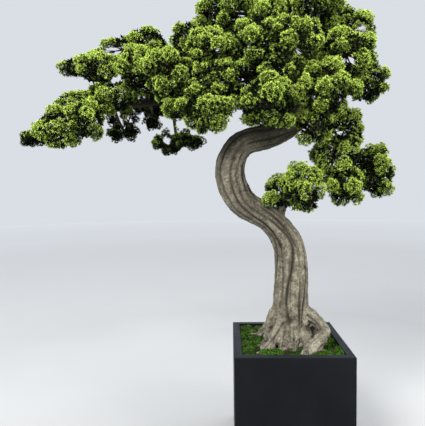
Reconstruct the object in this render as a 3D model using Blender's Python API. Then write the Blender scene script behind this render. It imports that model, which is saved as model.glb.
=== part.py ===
"""A bonsai tree in a square planter, at life size, in metres.

The origin is the centre of the planter's flat underside. +Z is up and the front of the tree faces -Y.
The trunk bends into a C to the left, its boughs carry flat and rounded pads of short needles, and one
low bough reaches to the right.
"""

import math
import random
from collections import namedtuple

import bmesh
import bpy
import numpy as np
from mathutils import Matrix, Vector

# Room left between two pieces that touch on the real tree
GAP = 0.0003

# Planter: a plain cube with a wide flat rim
PLANTER_SIDE = 0.450
PLANTER_HEIGHT = 0.450
RIM_WIDTH = 0.030
PLANTER_FLOOR = 0.025
PLANTER_EDGE = 0.003

# Soil, and the moss cushions on it
GROUND = 0.425
MOSS_CELLS = 10
MOSS_BED = 0.005
MOSS_RISE = 0.017
MOSS_SPACING = 0.048
MOSS_SEED = 4

# Trunk: places along its middle line with the radius there, from below the ground to the tip
Station = namedtuple("Station", "x y z radius")
TRUNK = (
    Station(0.024, -0.010, 0.395, 0.086),
    Station(0.020, -0.008, 0.490, 0.078),
    Station(0.013, 0.000, 0.590, 0.071),
    Station(0.018, 0.015, 0.740, 0.066),
    Station(0.002, 0.018, 0.850, 0.062),
    Station(-0.070, 0.000, 0.944, 0.052),
    Station(-0.190, -0.025, 1.026, 0.057),
    Station(-0.234, -0.040, 1.145, 0.058),
    Station(-0.187, -0.032, 1.250, 0.051),
    Station(-0.070, -0.008, 1.290, 0.050),
    Station(0.035, 0.010, 1.354, 0.048),
    Station(0.074, 0.022, 1.455, 0.037),
    Station(0.028, 0.030, 1.565, 0.033),
    Station(-0.050, 0.022, 1.695, 0.026),
    Station(-0.074, 0.005, 1.865, 0.013),
)
TRUNK_BEND = 7
TRUNK_SIDES = 16
TRUNK_STEPS = 2
FLUTES = 4
FLUTE_DEPTH = 0.055
FLUTE_TWIST = 0.55

# Roots that run out from the foot and down to the ground, each as places along its middle line. The third
# from the last is a thick gnarled one that leaves the right side and bows round to the front.
ROOTS = (
    (Station(0.004, -0.018, 0.570, 0.022), Station(-0.026, -0.040, 0.520, 0.032),
     Station(-0.064, -0.078, 0.466, 0.021), Station(-0.104, -0.114, 0.439, 0.014),
     Station(-0.142, -0.150, 0.426, 0.008)),
    (Station(-0.002, -0.010, 0.560, 0.022), Station(-0.044, -0.020, 0.500, 0.030),
     Station(-0.082, -0.030, 0.450, 0.016), Station(-0.122, -0.050, 0.427, 0.008)),
    (Station(-0.006, 0.012, 0.570, 0.022), Station(-0.050, 0.032, 0.504, 0.034),
     Station(-0.094, 0.062, 0.452, 0.020), Station(-0.152, 0.086, 0.428, 0.009)),
    (Station(0.008, -0.002, 0.620, 0.024), Station(-0.028, -0.002, 0.560, 0.042),
     Station(-0.050, 0.002, 0.500, 0.042), Station(-0.060, 0.006, 0.420, 0.034)),
    (Station(0.006, -0.022, 0.560, 0.022), Station(-0.016, -0.056, 0.492, 0.028),
     Station(-0.032, -0.082, 0.444, 0.016), Station(-0.044, -0.100, 0.415, 0.010)),
    (Station(0.020, -0.026, 0.560, 0.024), Station(0.016, -0.064, 0.490, 0.028),
     Station(0.014, -0.090, 0.440, 0.018), Station(0.014, -0.104, 0.415, 0.012)),
    (Station(0.030, -0.010, 0.570, 0.022), Station(0.050, -0.056, 0.496, 0.030),
     Station(0.090, -0.106, 0.445, 0.021), Station(0.128, -0.142, 0.431, 0.014),
     Station(0.162, -0.174, 0.425, 0.009)),
    (Station(0.032, 0.004, 0.570, 0.022), Station(0.078, 0.004, 0.515, 0.038),
     Station(0.118, 0.014, 0.465, 0.030), Station(0.170, 0.034, 0.428, 0.011)),
    (Station(0.030, -0.006, 0.610, 0.022), Station(0.078, -0.026, 0.560, 0.029),
     Station(0.122, -0.050, 0.524, 0.025), Station(0.134, -0.090, 0.498, 0.025),
     Station(0.098, -0.126, 0.474, 0.024), Station(0.062, -0.146, 0.444, 0.025),
     Station(0.048, -0.154, 0.415, 0.021)),
    (Station(0.026, 0.018, 0.570, 0.022), Station(0.042, 0.072, 0.500, 0.036),
     Station(0.052, 0.116, 0.452, 0.022), Station(0.064, 0.168, 0.428, 0.010)),
    (Station(0.006, 0.018, 0.560, 0.022), Station(-0.030, 0.070, 0.495, 0.034),
     Station(-0.070, 0.112, 0.450, 0.020), Station(-0.108, 0.156, 0.428, 0.009)),
)
ROOT_SIDES = 6
ROOT_STEPS = 1

# Boughs: the limb each grows from, its route, and its radius at the root and at the tip
Bough = namedtuple("Bough", "name parent route root tip")
BOUGHS = (
    Bough("bough_left_low", "trunk_upper",
          ((0.055, 0.016, 1.400), (-0.045, 0.028, 1.452), (-0.220, 0.022, 1.460),
           (-0.480, 0.002, 1.442), (-0.700, -0.012, 1.408), (-0.930, -0.030, 1.338)), 0.034, 0.008),
    Bough("bough_left_high", "trunk_upper",
          ((0.010, 0.030, 1.592), (-0.120, 0.052, 1.618), (-0.330, 0.052, 1.622),
           (-0.560, 0.032, 1.582), (-0.800, 0.030, 1.572)), 0.026, 0.007),
    Bough("bough_front_left", "bough_left_low",
          ((-0.120, 0.026, 1.458), (-0.190, -0.075, 1.452), (-0.290, -0.160, 1.450),
           (-0.400, -0.215, 1.462)), 0.022, 0.008),
    Bough("bough_front", "trunk_upper",
          ((0.072, 0.020, 1.440), (0.056, -0.080, 1.452), (0.020, -0.170, 1.446),
           (-0.020, -0.245, 1.424)), 0.026, 0.009),
    Bough("bough_front_high", "trunk_upper",
          ((0.020, 0.029, 1.578), (0.010, -0.070, 1.612), (-0.010, -0.160, 1.640),
           (-0.020, -0.250, 1.632)), 0.022, 0.008),
    Bough("bough_right_high", "trunk_upper",
          ((-0.045, 0.023, 1.685), (0.040, 0.012, 1.712), (0.130, 0.000, 1.712),
           (0.215, -0.005, 1.672)), 0.018, 0.007),
    Bough("bough_right", "trunk_upper",
          ((0.072, 0.021, 1.470), (0.150, 0.042, 1.492), (0.245, 0.066, 1.502)), 0.023, 0.009),
    Bough("bough_right_low", "bough_right",
          ((0.130, 0.038, 1.487), (0.172, 0.000, 1.425), (0.170, -0.030, 1.340),
           (0.190, -0.055, 1.278)), 0.014, 0.006),
    Bough("bough_low_right", "trunk",
          ((-0.040, 0.006, 0.915), (-0.024, -0.014, 1.000), (-0.010, -0.032, 1.052),
           (0.080, -0.044, 1.092), (0.190, -0.036, 1.116), (0.290, -0.008, 1.150)), 0.025, 0.007),
    Bough("bough_back_left", "trunk_upper",
          ((0.060, 0.025, 1.505), (-0.020, 0.110, 1.540), (-0.160, 0.170, 1.580),
           (-0.340, 0.205, 1.612), (-0.450, 0.220, 1.640)), 0.024, 0.007),
)
BOUGH_SIDES = 7
BOUGH_STEPS = 2

# Masses of foliage: the limb that carries each, the middle and the half-sizes of the egg-shaped space it
# keeps to, and whether it is a dense pad or an open tuft in the shade
Mass = namedtuple("Mass", "name limb centre half dense")
MASSES = (
    Mass("left_tip", "bough_left_low", (-1.023, -0.020, 1.295), (0.084, 0.070, 0.058), False),
    Mass("left_front_pad", "bough_left_low", (-0.891, -0.120, 1.317), (0.111, 0.085, 0.089), True),
    Mass("left_second_pad", "bough_left_low", (-0.777, -0.150, 1.345), (0.078, 0.085, 0.086), True),
    Mass("left_shelf", "bough_left_low", (-0.851, 0.040, 1.441), (0.135, 0.082, 0.055), True),
    Mass("left_mid_pad", "bough_left_low", (-0.698, -0.050, 1.448), (0.114, 0.085, 0.088), True),
    Mass("left_hanging", "bough_left_low", (-0.688, 0.090, 1.358), (0.104, 0.072, 0.093), False),
    Mass("upper_tip", "bough_left_high", (-0.865, 0.050, 1.593), (0.091, 0.076, 0.036), True),
    Mass("upper_front", "bough_left_high", (-0.742, -0.070, 1.556), (0.107, 0.078, 0.067), True),
    Mass("upper_back", "bough_left_high", (-0.696, 0.130, 1.688), (0.109, 0.082, 0.057), True),
    Mass("crest_end", "bough_left_high", (-0.587, 0.100, 1.703), (0.099, 0.082, 0.069), True),
    Mass("shoulder_left", "bough_left_high", (-0.586, -0.120, 1.536), (0.084, 0.090, 0.088), True),
    Mass("shoulder_front", "bough_front_left", (-0.455, -0.210, 1.493), (0.109, 0.100, 0.098), True),
    Mass("shoulder_low", "bough_left_low", (-0.565, -0.030, 1.463), (0.077, 0.072, 0.061), True),
    Mass("shoulder_under", "bough_left_low", (-0.558, 0.100, 1.422), (0.113, 0.080, 0.100), False),
    Mass("low_left_pad", "bough_left_low", (-0.414, -0.165, 1.404), (0.101, 0.095, 0.078), True),
    Mass("low_front_pad", "bough_front_left", (-0.310, -0.245, 1.369), (0.114, 0.100, 0.096), True),
    Mass("low_hanging", "bough_left_low", (-0.454, 0.060, 1.279), (0.125, 0.075, 0.074), False),
    Mass("crown_left_edge", "bough_left_high", (-0.391, -0.050, 1.668), (0.083, 0.088, 0.067), True),
    Mass("crown_left", "bough_left_high", (-0.295, -0.195, 1.583), (0.109, 0.100, 0.080), True),
    Mass("crown_left_low", "bough_front_left", (-0.289, -0.215, 1.460), (0.123, 0.100, 0.090), True),
    Mass("crown_centre", "bough_front_high", (-0.169, -0.205, 1.471), (0.098, 0.100, 0.094), True),
    Mass("crown_upper", "bough_front_high", (-0.138, -0.240, 1.587), (0.106, 0.100, 0.092), True),
    Mass("crown_top_front", "trunk_upper", (-0.086, -0.140, 1.719), (0.075, 0.090, 0.075), True),
    Mass("front_upper", "bough_front_high", (-0.003, -0.275, 1.593), (0.100, 0.100, 0.086), True),
    Mass("top_left", "trunk_upper", (-0.248, -0.050, 1.768), (0.126, 0.120, 0.126), True),
    Mass("front_big", "bough_front", (-0.104, -0.275, 1.373), (0.118, 0.105, 0.104), True),
    Mass("front_mid", "bough_front", (-0.052, -0.250, 1.509), (0.109, 0.100, 0.084), True),
    Mass("right_front", "bough_front", (0.098, -0.250, 1.416), (0.119, 0.105, 0.109), True),
    Mass("right_shelf", "bough_right_high", (0.192, -0.180, 1.559), (0.120, 0.105, 0.087), True),
    Mass("right_low_edge", "bough_right", (0.337, 0.060, 1.511), (0.090, 0.096, 0.094), True),
    Mass("right_top", "bough_right_high", (0.250, 0.020, 1.698), (0.122, 0.098, 0.101), True),
    Mass("right_drop", "bough_right_low", (0.178, -0.090, 1.200), (0.111, 0.085, 0.109), True),
    Mass("right_inner_low", "bough_right_low", (0.076, -0.185, 1.311), (0.077, 0.088, 0.081), True),
    Mass("right_outer_low", "bough_right_low", (0.218, -0.060, 1.304), (0.090, 0.086, 0.091), True),
    Mass("low_branch_left", "bough_low_right", (-0.026, -0.080, 1.056), (0.085, 0.080, 0.072), True),
    Mass("low_branch_front", "bough_low_right", (0.039, -0.160, 1.071), (0.086, 0.082, 0.107), True),
    Mass("low_branch_mid", "bough_low_right", (0.207, -0.100, 1.088), (0.083, 0.078, 0.089), True),
    Mass("low_branch_tip", "bough_low_right", (0.357, 0.030, 1.141), (0.099, 0.093, 0.114), True),
    Mass("top_peak", "trunk_upper", (-0.074, -0.020, 1.922), (0.131, 0.125, 0.107), True),
    Mass("top_right", "bough_right_high", (0.105, -0.070, 1.793), (0.120, 0.120, 0.137), True),
    Mass("back_left", "bough_back_left", (-0.550, 0.250, 1.655), (0.130, 0.098, 0.111), True),
    Mass("back_centre", "bough_back_left", (-0.318, 0.260, 1.699), (0.144, 0.100, 0.125), True),
    Mass("back_right", "trunk_upper", (0.149, 0.250, 1.650), (0.165, 0.100, 0.147), True),
    Mass("back_low", "trunk_upper", (-0.081, 0.240, 1.466), (0.115, 0.096, 0.097), True),
    Mass("back_top", "trunk_upper", (-0.045, 0.210, 1.907), (0.157, 0.105, 0.134), True),
)

Space = namedtuple("Space", "centre half walls obstacles")

# The space of a mass: what is left between it and a neighbour, the room kept from limbs, and the least
# share of its half-sizes that stays where a limb passes near its middle
SPACE_GAP = 0.0006
LIMB_ROOM = 0.004
LEAST_SHARE = 0.20

# A dense mass: a core of round lobes with sprays on its faces. In shares of the mass's half-sizes are how
# far the outside of a lobe reaches, the farthest that any body goes, the largest lobe, the lowest way that
# one lies, the least reach of the body and the core's part of it. A lobe's radius is in metres, and the two
# areas are the surface that stands for one lobe and for one face of the core.
LOBE_AREA = 0.0085
LOBE_REACH = (0.84, 1.12)
LOBE_LIMIT = 1.07
LOBE_RADIUS = (0.030, 0.048)
LARGEST_LOBE = 0.54
LOBE_LOWEST = -0.90
LOBE_TRIES = 12
BODY_SHARE = 0.64
CORE_SHARE = 0.83
FACE_AREA = 0.00116

# An open mass: small clumps on twigs that branch from its stem
CLUMP_RADIUS = 0.046
CLUMP_HEIGHT = 0.82
CLUMP_CORE = 0.56
CLUMP_FACES = 14
CLUMPS = 7
CLUMP_TRIES = 90
HUB_DROP = 0.35
FORK_BIAS = 0.5

# Wood inside a mass, and the sprays: the least normal and the least length at which one stands up, how
# far it reaches, and the places of the tips and the notch of a forked one among a face's corners
STEM_RADIUS = 0.0075
HUB_RADIUS = 0.0055
TWIG_TIP_RADIUS = 0.0030
CLEARANCE = 0.0015
BALL_STEP = 0.006
SPRAY_LOWEST = -0.70
SPRAY_LEAST = 0.07
SPRAY_REACH = (0.90, 1.0)
SPRAY_WANDER = 0.16
FORKED_SHARE = 0.12
FORK_LEFT = (0.58, 0.14, 0.28)
FORK_RIGHT = (0.14, 0.58, 0.28)
FORK_NOTCH = (1 / 3, 1 / 3, 1 / 3)
NOTCH_DEPTH = 0.90

# Colours as linear red, green and blue, with roughness
FINISHES = {
    "matte_black": ((0.022, 0.024, 0.026), 0.62),
    "soil_brown": ((0.050, 0.034, 0.022), 0.95),
    "moss_green": ((0.090, 0.205, 0.025), 0.95),
    "bark": ((0.225, 0.185, 0.130), 0.85),
    "bough_bark": ((0.075, 0.055, 0.035), 0.90),
    "needles": ((0.120, 0.240, 0.035), 0.75),
    "needles_in_shade": ((0.045, 0.105, 0.025), 0.80),
}


def clear_scene():
    for old in list(bpy.data.objects):
        bpy.data.objects.remove(old, do_unlink=True)


def finish(name):
    """A material of the given name, made once."""
    known = bpy.data.materials.get(name)
    if known:
        return known
    colour, roughness = FINISHES[name]
    material = bpy.data.materials.new(name)
    material.use_nodes = True
    surface = material.node_tree.nodes["Principled BSDF"]
    surface.inputs["Base Color"].default_value = (*colour, 1.0)
    surface.inputs["Roughness"].default_value = roughness
    surface.inputs["Metallic"].default_value = 0.0
    return material


def add_object(name, points, faces, material=None):
    """An object of the given closed mesh, linked to the scene."""
    mesh = bpy.data.meshes.new(name)
    mesh.from_pydata([tuple(point) for point in points], [], faces)
    if material:
        mesh.materials.append(finish(material))
    made = bpy.data.objects.new(name, mesh)
    bpy.context.scene.collection.objects.link(made)
    return made


def add_box(name, low, high, material=None):
    """An upright box between two corners."""
    corners = [(x, y, z) for z in (low[2], high[2]) for y in (low[1], high[1]) for x in (low[0], high[0])]
    faces = [(0, 2, 3, 1), (4, 5, 7, 6), (0, 1, 5, 4), (2, 6, 7, 3), (0, 4, 6, 2), (1, 3, 7, 5)]
    return add_object(name, corners, faces, material)


def apply_modifiers(piece):
    """Replaces a piece's mesh by the mesh that its modifiers give."""
    graph = bpy.context.evaluated_depsgraph_get()
    result = bpy.data.meshes.new_from_object(piece.evaluated_get(graph), depsgraph=graph)
    before = piece.data
    piece.modifiers.clear()
    piece.data = result
    bpy.data.meshes.remove(before)
    result.name = piece.name


def remove_objects(pieces):
    for piece in pieces:
        mesh = piece.data
        bpy.data.objects.remove(piece, do_unlink=True)
        bpy.data.meshes.remove(mesh)


def cut(piece, cutters):
    """Takes the cutters' solids out of a piece, and removes them."""
    for cutter in cutters:
        cutter.hide_render = True
        cutter.display_type = "WIRE"
        difference = piece.modifiers.new("cut", "BOOLEAN")
        difference.operation = "DIFFERENCE"
        difference.object = cutter
    apply_modifiers(piece)
    remove_objects(cutters)


def join(piece, others):
    """Unites a piece with the other closed objects, which are then removed."""
    group = bpy.data.collections.new("joined")
    bpy.context.scene.collection.children.link(group)
    for other in others:
        bpy.context.scene.collection.objects.unlink(other)
        group.objects.link(other)
    union = piece.modifiers.new("join", "BOOLEAN")
    union.operation = "UNION"
    union.operand_type = "COLLECTION"
    union.collection = group
    apply_modifiers(piece)
    remove_objects(others)
    bpy.data.collections.remove(group)


def keep_main_body(piece):
    """Drops loose scraps and fills sealed hollows: only the largest closed shell of the mesh stays."""
    shape = bmesh.new()
    shape.from_mesh(piece.data)
    left = set(shape.faces)
    shells = []
    while left:
        shell = {left.pop()}
        edge_of_search = list(shell)
        while edge_of_search:
            face = edge_of_search.pop()
            for side in face.edges:
                for near in side.link_faces:
                    if near in left:
                        left.discard(near)
                        shell.add(near)
                        edge_of_search.append(near)
        shells.append(shell)
    shells.sort(key=lambda shell: sum(face.calc_area() for face in shell), reverse=True)
    extra = [face for shell in shells[1:] for face in shell]
    if extra:
        bmesh.ops.delete(shape, geom=extra, context="FACES")
        lone = [point for point in shape.verts if not point.link_faces]
        bmesh.ops.delete(shape, geom=lone, context="VERTS")
    shape.to_mesh(piece.data)
    shape.free()


def smooth_route(stations, steps):
    """Rows of a curve that runs smoothly through the stations, with the given steps between two."""
    rows = np.array(stations, float)
    rows = np.vstack([2 * rows[0] - rows[1], rows, 2 * rows[-1] - rows[-2]])
    curve = []
    for a, b, c, d in zip(rows, rows[1:], rows[2:], rows[3:]):
        for step in range(steps):
            t = step / steps
            curve.append(0.5 * (2 * b + (c - a) * t + (2 * a - 5 * b + 4 * c - d) * t ** 2
                                + (3 * b - a - 3 * c + d) * t ** 3))
    curve.append(rows[-2])
    return np.array(curve)


def ring_points(rows, sides, extra=0.0, flute=0.0):
    """A ring of points round each row of x, y, z and radius, widened and lengthened by the extra."""
    middle = [Vector(row[:3]) for row in rows]
    heading = [(b - a).normalized() for a, b in zip(middle, middle[1:])]
    heading = [heading[0]] + [(a + b).normalized() for a, b in zip(heading, heading[1:])] + [heading[-1]]
    middle[0] -= heading[0] * extra
    middle[-1] += heading[-1] * extra
    start = Vector((0, -1, 0)) if abs(heading[0].y) < 0.8 else Vector((1, 0, 0))
    across = (start - heading[0] * start.dot(heading[0])).normalized()
    widening = extra / math.cos(math.pi / sides)
    rings = []
    for number, (centre, ahead, row) in enumerate(zip(middle, heading, rows)):
        across = (across - ahead * across.dot(ahead)).normalized()
        beside = ahead.cross(across)
        ring = []
        for side in range(sides):
            angle = 2 * math.pi * side / sides
            wave = math.cos(FLUTES * angle + FLUTE_TWIST * number)
            radius = float(row[3]) * (1 + flute * wave) + widening
            ring.append(centre + radius * (math.cos(angle) * across + math.sin(angle) * beside))
        rings.append(ring)
    return rings


def skin(rings):
    """Points and faces of the closed limb that runs through the rings."""
    sides = len(rings[0])
    points = [point for ring in rings for point in ring]
    faces = []
    for ring in range(len(rings) - 1):
        for side in range(sides):
            a = ring * sides + side
            b = ring * sides + (side + 1) % sides
            faces += [(a, b, b + sides), (a, b + sides, a + sides)]
    faces.append(tuple(reversed(range(sides))))
    faces.append(tuple(range(len(points) - sides, len(points))))
    return points, faces


def tube(rows, sides, extra=0.0):
    """Points and faces of a plain closed limb."""
    return skin(ring_points(rows, sides, extra))


def trunk_rings(extra=0.0):
    """The trunk's rings up to its bend, and those above it, a gap apart."""
    rings = ring_points(smooth_route(TRUNK, TRUNK_STEPS), TRUNK_SIDES, extra, FLUTE_DEPTH)
    bend = TRUNK_BEND * TRUNK_STEPS
    lower, upper = rings[:bend + 1], rings[bend:]
    ahead = (sum(upper[1], Vector()) - sum(upper[0], Vector())).normalized()
    upper[0] = [point + ahead * GAP for point in upper[0]]
    return lower, upper


def trunk_solid(name, extra=0.0):
    """The lower trunk with its roots, cut flat at the ground, widened by the extra."""
    lower, _ = trunk_rings(extra)
    trunk = add_object(name, *skin(lower), "bark")
    roots = [add_object("root", *tube(smooth_route(root, ROOT_STEPS), ROOT_SIDES, extra)) for root in ROOTS]
    join(trunk, roots)
    ground = GROUND + GAP - extra
    below = add_box("below_ground", (-1, -1, ground - 1), (1, 1, ground))
    cut(trunk, [below])
    keep_main_body(trunk)
    return trunk


def upper_trunk_solid(name, extra=0.0):
    """The trunk above its bend, up to the leader's tip."""
    _, upper = trunk_rings(extra)
    return add_object(name, *skin(upper), "bark")


def bough_rows(bough):
    """Rows of a bough's middle line with its even taper."""
    middle = smooth_route(bough.route, BOUGH_STEPS)
    runs = np.linalg.norm(np.diff(middle, axis=0), axis=1)
    along = np.concatenate([[0], np.cumsum(runs)]) / runs.sum()
    radii = bough.root + (bough.tip - bough.root) * along
    return np.column_stack([middle, radii])


def bough_solid(bough, extra=0.0):
    return add_object(bough.name, *tube(bough_rows(bough), BOUGH_SIDES, extra), "bough_bark")


def limb_solid(name, extra=0.0):
    """Any limb by its name, for cutting what grows from it."""
    if name == "trunk":
        return trunk_solid("trunk_cutter", extra)
    if name == "trunk_upper":
        return upper_trunk_solid("trunk_upper_cutter", extra)
    return bough_solid(next(bough for bough in BOUGHS if bough.name == name), extra)


def limb_rows():
    """Rows of every limb's middle line, by the limb's name."""
    trunk = smooth_route(TRUNK, TRUNK_STEPS)
    bend = TRUNK_BEND * TRUNK_STEPS
    rows = {"trunk": trunk[:bend + 1], "trunk_upper": trunk[bend:]}
    for bough in BOUGHS:
        rows[bough.name] = bough_rows(bough)
    return rows


def balls_between(start, end, first, last):
    """Balls strung from one point to another: rows of x, y, z and radius that fill a round rod."""
    start, end = np.asarray(start, float), np.asarray(end, float)
    count = max(2, math.ceil(np.linalg.norm(end - start) / BALL_STEP) + 1)
    t = np.linspace(0, 1, count)[:, None]
    return np.hstack([start + (end - start) * t, first + (last - first) * t])


def balls_along(rows):
    """Balls strung along a limb."""
    return np.vstack([balls_between(a[:3], b[:3], a[3], b[3]) for a, b in zip(rows, rows[1:])])


def clear_of(balls, others, room=CLEARANCE):
    """True where no ball comes nearer to the other balls than the room."""
    if not len(others):
        return True
    balls = np.atleast_2d(balls)
    apart = np.linalg.norm(balls[:, None, :3] - others[None, :, :3], axis=2)
    return bool((apart - balls[:, None, 3] - others[None, :, 3]).min() > room)


def mass_seed(mass):
    return 100 + MASSES.index(mass)


def hub_of(mass):
    """The point in a mass's space where its stem ends, low in it where twigs part from there."""
    drop = 0 if mass.dense else HUB_DROP * mass.half[2]
    return np.array(mass.centre) - (0, 0, drop)


def lay_stems(limbs):
    """The balls of every mass's one stem: it leaves its limb at the nearest point from which it is
    clear of the other limbs and of the stems before it."""
    stems = {}
    for mass in MASSES:
        hub = hub_of(mass)
        others = [balls for name, balls in limbs.items() if name != mass.limb]
        others = np.vstack(others + list(stems.values()))
        own = limbs[mass.limb]
        for at in np.argsort(np.linalg.norm(own[:, :3] - hub, axis=1)):
            stem = balls_between(own[at, :3], hub, STEM_RADIUS, HUB_RADIUS)
            outside = stem[np.linalg.norm(stem[:, :3] - own[at, :3], axis=1) > 0.7 * own[at, 3]]
            if clear_of(outside, others):
                break
        stems[mass.name] = stem
    return stems


def walls_of(mass):
    """The flat bounds of a mass's space: for each neighbour that would reach into it, the direction
    of that neighbour and how far the space goes towards it from the middle."""
    walls = []
    for other in MASSES:
        step = np.array(other.centre) - mass.centre
        apart = np.linalg.norm(step)
        if other is mass:
            continue
        way = step / apart
        own, beyond = np.linalg.norm(way * mass.half), np.linalg.norm(way * other.half)
        if LOBE_LIMIT * (own + beyond) > apart:
            walls.append((*way, apart * own / (own + beyond) - SPACE_GAP))
    return np.array(walls).reshape(-1, 4)


def moved(walls, step):
    """The same walls, measured from a middle that is moved by the step."""
    return np.column_stack([walls[:, :3], walls[:, 3] - walls[:, :3] @ step])


def free_share(space, directions):
    """How far each direction is free, from the middle of a space at 0 to its edge at 1."""
    ways = directions * space.half
    share = np.full(len(ways), LOBE_LIMIT)
    for wall in space.walls:
        ahead = ways @ wall[:3]
        share = np.where(ahead > wall[3], np.minimum(share, wall[3] / np.maximum(ahead, 1e-9)), share)
    near = space.obstacles[:, :3] - space.centre
    wide = space.obstacles[:, 3] + LIMB_ROOM
    along, length = ways @ near.T, (ways ** 2).sum(1)[:, None]
    inside = along ** 2 - length * ((near ** 2).sum(1) - wide ** 2)
    touch = (along - np.sqrt(np.maximum(inside, 0))) / length
    touch = np.where((inside > 0) & (along > 0), touch, LOBE_LIMIT)
    return np.maximum(np.minimum(share, touch.min(1, initial=LOBE_LIMIT)), LEAST_SHARE)


def surface(half):
    """The surface of an egg of the given half-sizes, near enough to share things out by."""
    a, b, c = np.array(half) ** 1.6
    return 4 * math.pi * ((a * b + a * c + b * c) / 3) ** (1 / 1.6)


def lobes_of(mass):
    """Seeded lobes of a dense mass, spread out over its upper parts: rows of x, y, z and radius in
    shares of its half-sizes."""
    rng = random.Random(mass_seed(mass))
    mean = math.prod(mass.half) ** (1 / 3)
    lobes = []
    for _ in range(max(4, round(surface(mass.half) / LOBE_AREA))):
        radius = min(rng.uniform(*LOBE_RADIUS) / mean, LARGEST_LOBE)
        best, most_room = None, -1.0
        for _ in range(LOBE_TRIES):
            way = np.array([rng.gauss(0, 1) for _ in range(3)])
            way /= np.linalg.norm(way)
            place = (rng.uniform(*LOBE_REACH) - radius) * way
            room = min([np.linalg.norm(place - lobe[:3]) for lobe in lobes], default=1.0)
            if way[2] > LOBE_LOWEST and room > most_room:
                best, most_room = place, room
        if best is not None:
            lobes.append((*best, radius))
    return np.array(lobes)


def lobe_share(lobes, directions):
    """How far a lobed body reaches in each direction, with its space's edge at 1."""
    if not len(lobes):
        return np.ones(len(directions))
    along = directions @ lobes[:, :3].T
    inside = along ** 2 - (lobes[:, :3] ** 2).sum(1) + lobes[:, 3] ** 2
    ends = np.where(inside > 0, along + np.sqrt(np.maximum(inside, 0)), 0.0)
    return np.clip(ends.max(1), BODY_SHARE, LOBE_LIMIT)


def even_sphere(count):
    """Directions spread evenly round a sphere, and the triangles between them, facing out."""
    shape = bmesh.new()
    for step in range(count):
        height = 1 - (2 * step + 1) / count
        angle = step * math.pi * (3 - math.sqrt(5))
        across = math.sqrt(1 - height ** 2)
        shape.verts.new((across * math.cos(angle), across * math.sin(angle), height))
    bmesh.ops.convex_hull(shape, input=shape.verts[:])
    shape.verts.index_update()
    faces = []
    for face in shape.faces:
        face.normal_update()
        corners = [corner.index for corner in face.verts]
        outward = face.normal.dot(face.calc_center_median()) > 0
        faces.append(corners if outward else corners[::-1])
    directions = np.array([corner.co for corner in shape.verts])
    shape.free()
    return directions, faces


def raise_spray(tuft, space, lobes, face, rng):
    """The faces of a spray that stands on one face of a tuft's core, or the bare face where the spray
    would look down or has no room. It is plain, or forks into two tips with a notch between."""
    directions, shares, points = tuft
    corners = directions[face]
    a, b, c = [Vector(points[corner]) for corner in face]
    if (b - a).cross(c - a).normalized().z < SPRAY_LOWEST:
        return [face]
    wander = [1 / 3 + rng.uniform(-SPRAY_WANDER, SPRAY_WANDER) for _ in range(3)]
    forked = rng.random() < FORKED_SHARE
    weights = np.array([FORK_LEFT, FORK_NOTCH, FORK_RIGHT] if forked else [wander])
    ways = weights @ corners
    ways /= np.linalg.norm(ways, axis=1)[:, None]
    reach = np.minimum(rng.uniform(*SPRAY_REACH) * lobe_share(lobes, ways), free_share(space, ways))
    if reach.min() < shares[face].mean() + SPRAY_LEAST:
        return [face]
    if forked:
        reach[1] *= NOTCH_DEPTH
    first = len(points)
    points.extend(space.centre + reach[:, None] * ways * space.half)
    a, b, c = face
    if not forked:
        return [(a, b, first), (b, c, first), (c, a, first)]
    left, notch, right = first, first + 1, first + 2
    return [(a, b, notch), (b, right, notch), (a, notch, left), (b, c, right),
            (c, a, left), (c, left, notch), (c, notch, right)]


def add_tuft(space, lobes, count, core, rng):
    """A closed tuft of foliage: a core that keeps to its space, with sprays standing on its faces.
    Every point is seen from the middle of the space, so the tuft can't cross itself."""
    directions, faces = even_sphere(count)
    turn = np.array(Matrix.Rotation(rng.uniform(0, 2 * math.pi), 3, "Z"))
    directions = directions @ turn.T
    shares = np.minimum(core * lobe_share(lobes, directions), free_share(space, directions))
    points = list(space.centre + shares[:, None] * directions * space.half)
    tuft = (directions, shares, points)
    raised = [spray for face in faces for spray in raise_spray(tuft, space, lobes, face, rng)]
    return add_object("tuft", points, raised)


def in_walls(balls, centre, walls):
    """True where all of the balls lie inside the walls."""
    return bool(((balls[:, :3] - centre) @ walls[:, :3].T + balls[:, 3:] <= walls[:, 3]).all())


def grow_twigs(mass, stem, thin_balls):
    """The clump places and the twigs of an open mass: seeded places spread evenly through its space,
    each on a twig that forks from the nearest wood and clears the limbs and the other stems."""
    rng = random.Random(mass_seed(mass))
    walls = walls_of(mass)
    size = np.array((1, 1, CLUMP_HEIGHT)) * CLUMP_RADIUS
    spread = np.array(mass.half) - size
    wood = stem[-1:]
    run = np.zeros(1)
    places, twigs = [], []
    for _ in range(CLUMPS):
        best, most_room = None, 0.9 * CLUMP_RADIUS
        for _ in range(CLUMP_TRIES):
            way = np.array([rng.gauss(0, 1) for _ in range(3)])
            place = mass.centre + spread * way / np.linalg.norm(way) * rng.uniform(0.5, 1) ** 0.5
            room = min([np.linalg.norm(place - other) for other in places], default=1.0)
            at = int(np.argmin(np.linalg.norm(wood[:, :3] - place, axis=1) + FORK_BIAS * run))
            twig = balls_between(wood[at, :3], place, 0.85 * wood[at, 3], TWIG_TIP_RADIUS)
            grown = np.vstack([np.append(place, CLUMP_CORE * CLUMP_RADIUS), twig[2:]])
            if room > most_room and clear_of(grown, thin_balls) and in_walls(grown, mass.centre, walls):
                best, most_room = (place, at, twig), room
        if best is None:
            continue
        place, at, twig = best
        places.append(place)
        twigs.append((twig[0], twig[-1]))
        run = np.concatenate([run, run[at] + np.linalg.norm(twig[:, :3] - twig[0, :3], axis=1)])
        wood = np.vstack([wood, twig])
    return places, twigs


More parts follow.
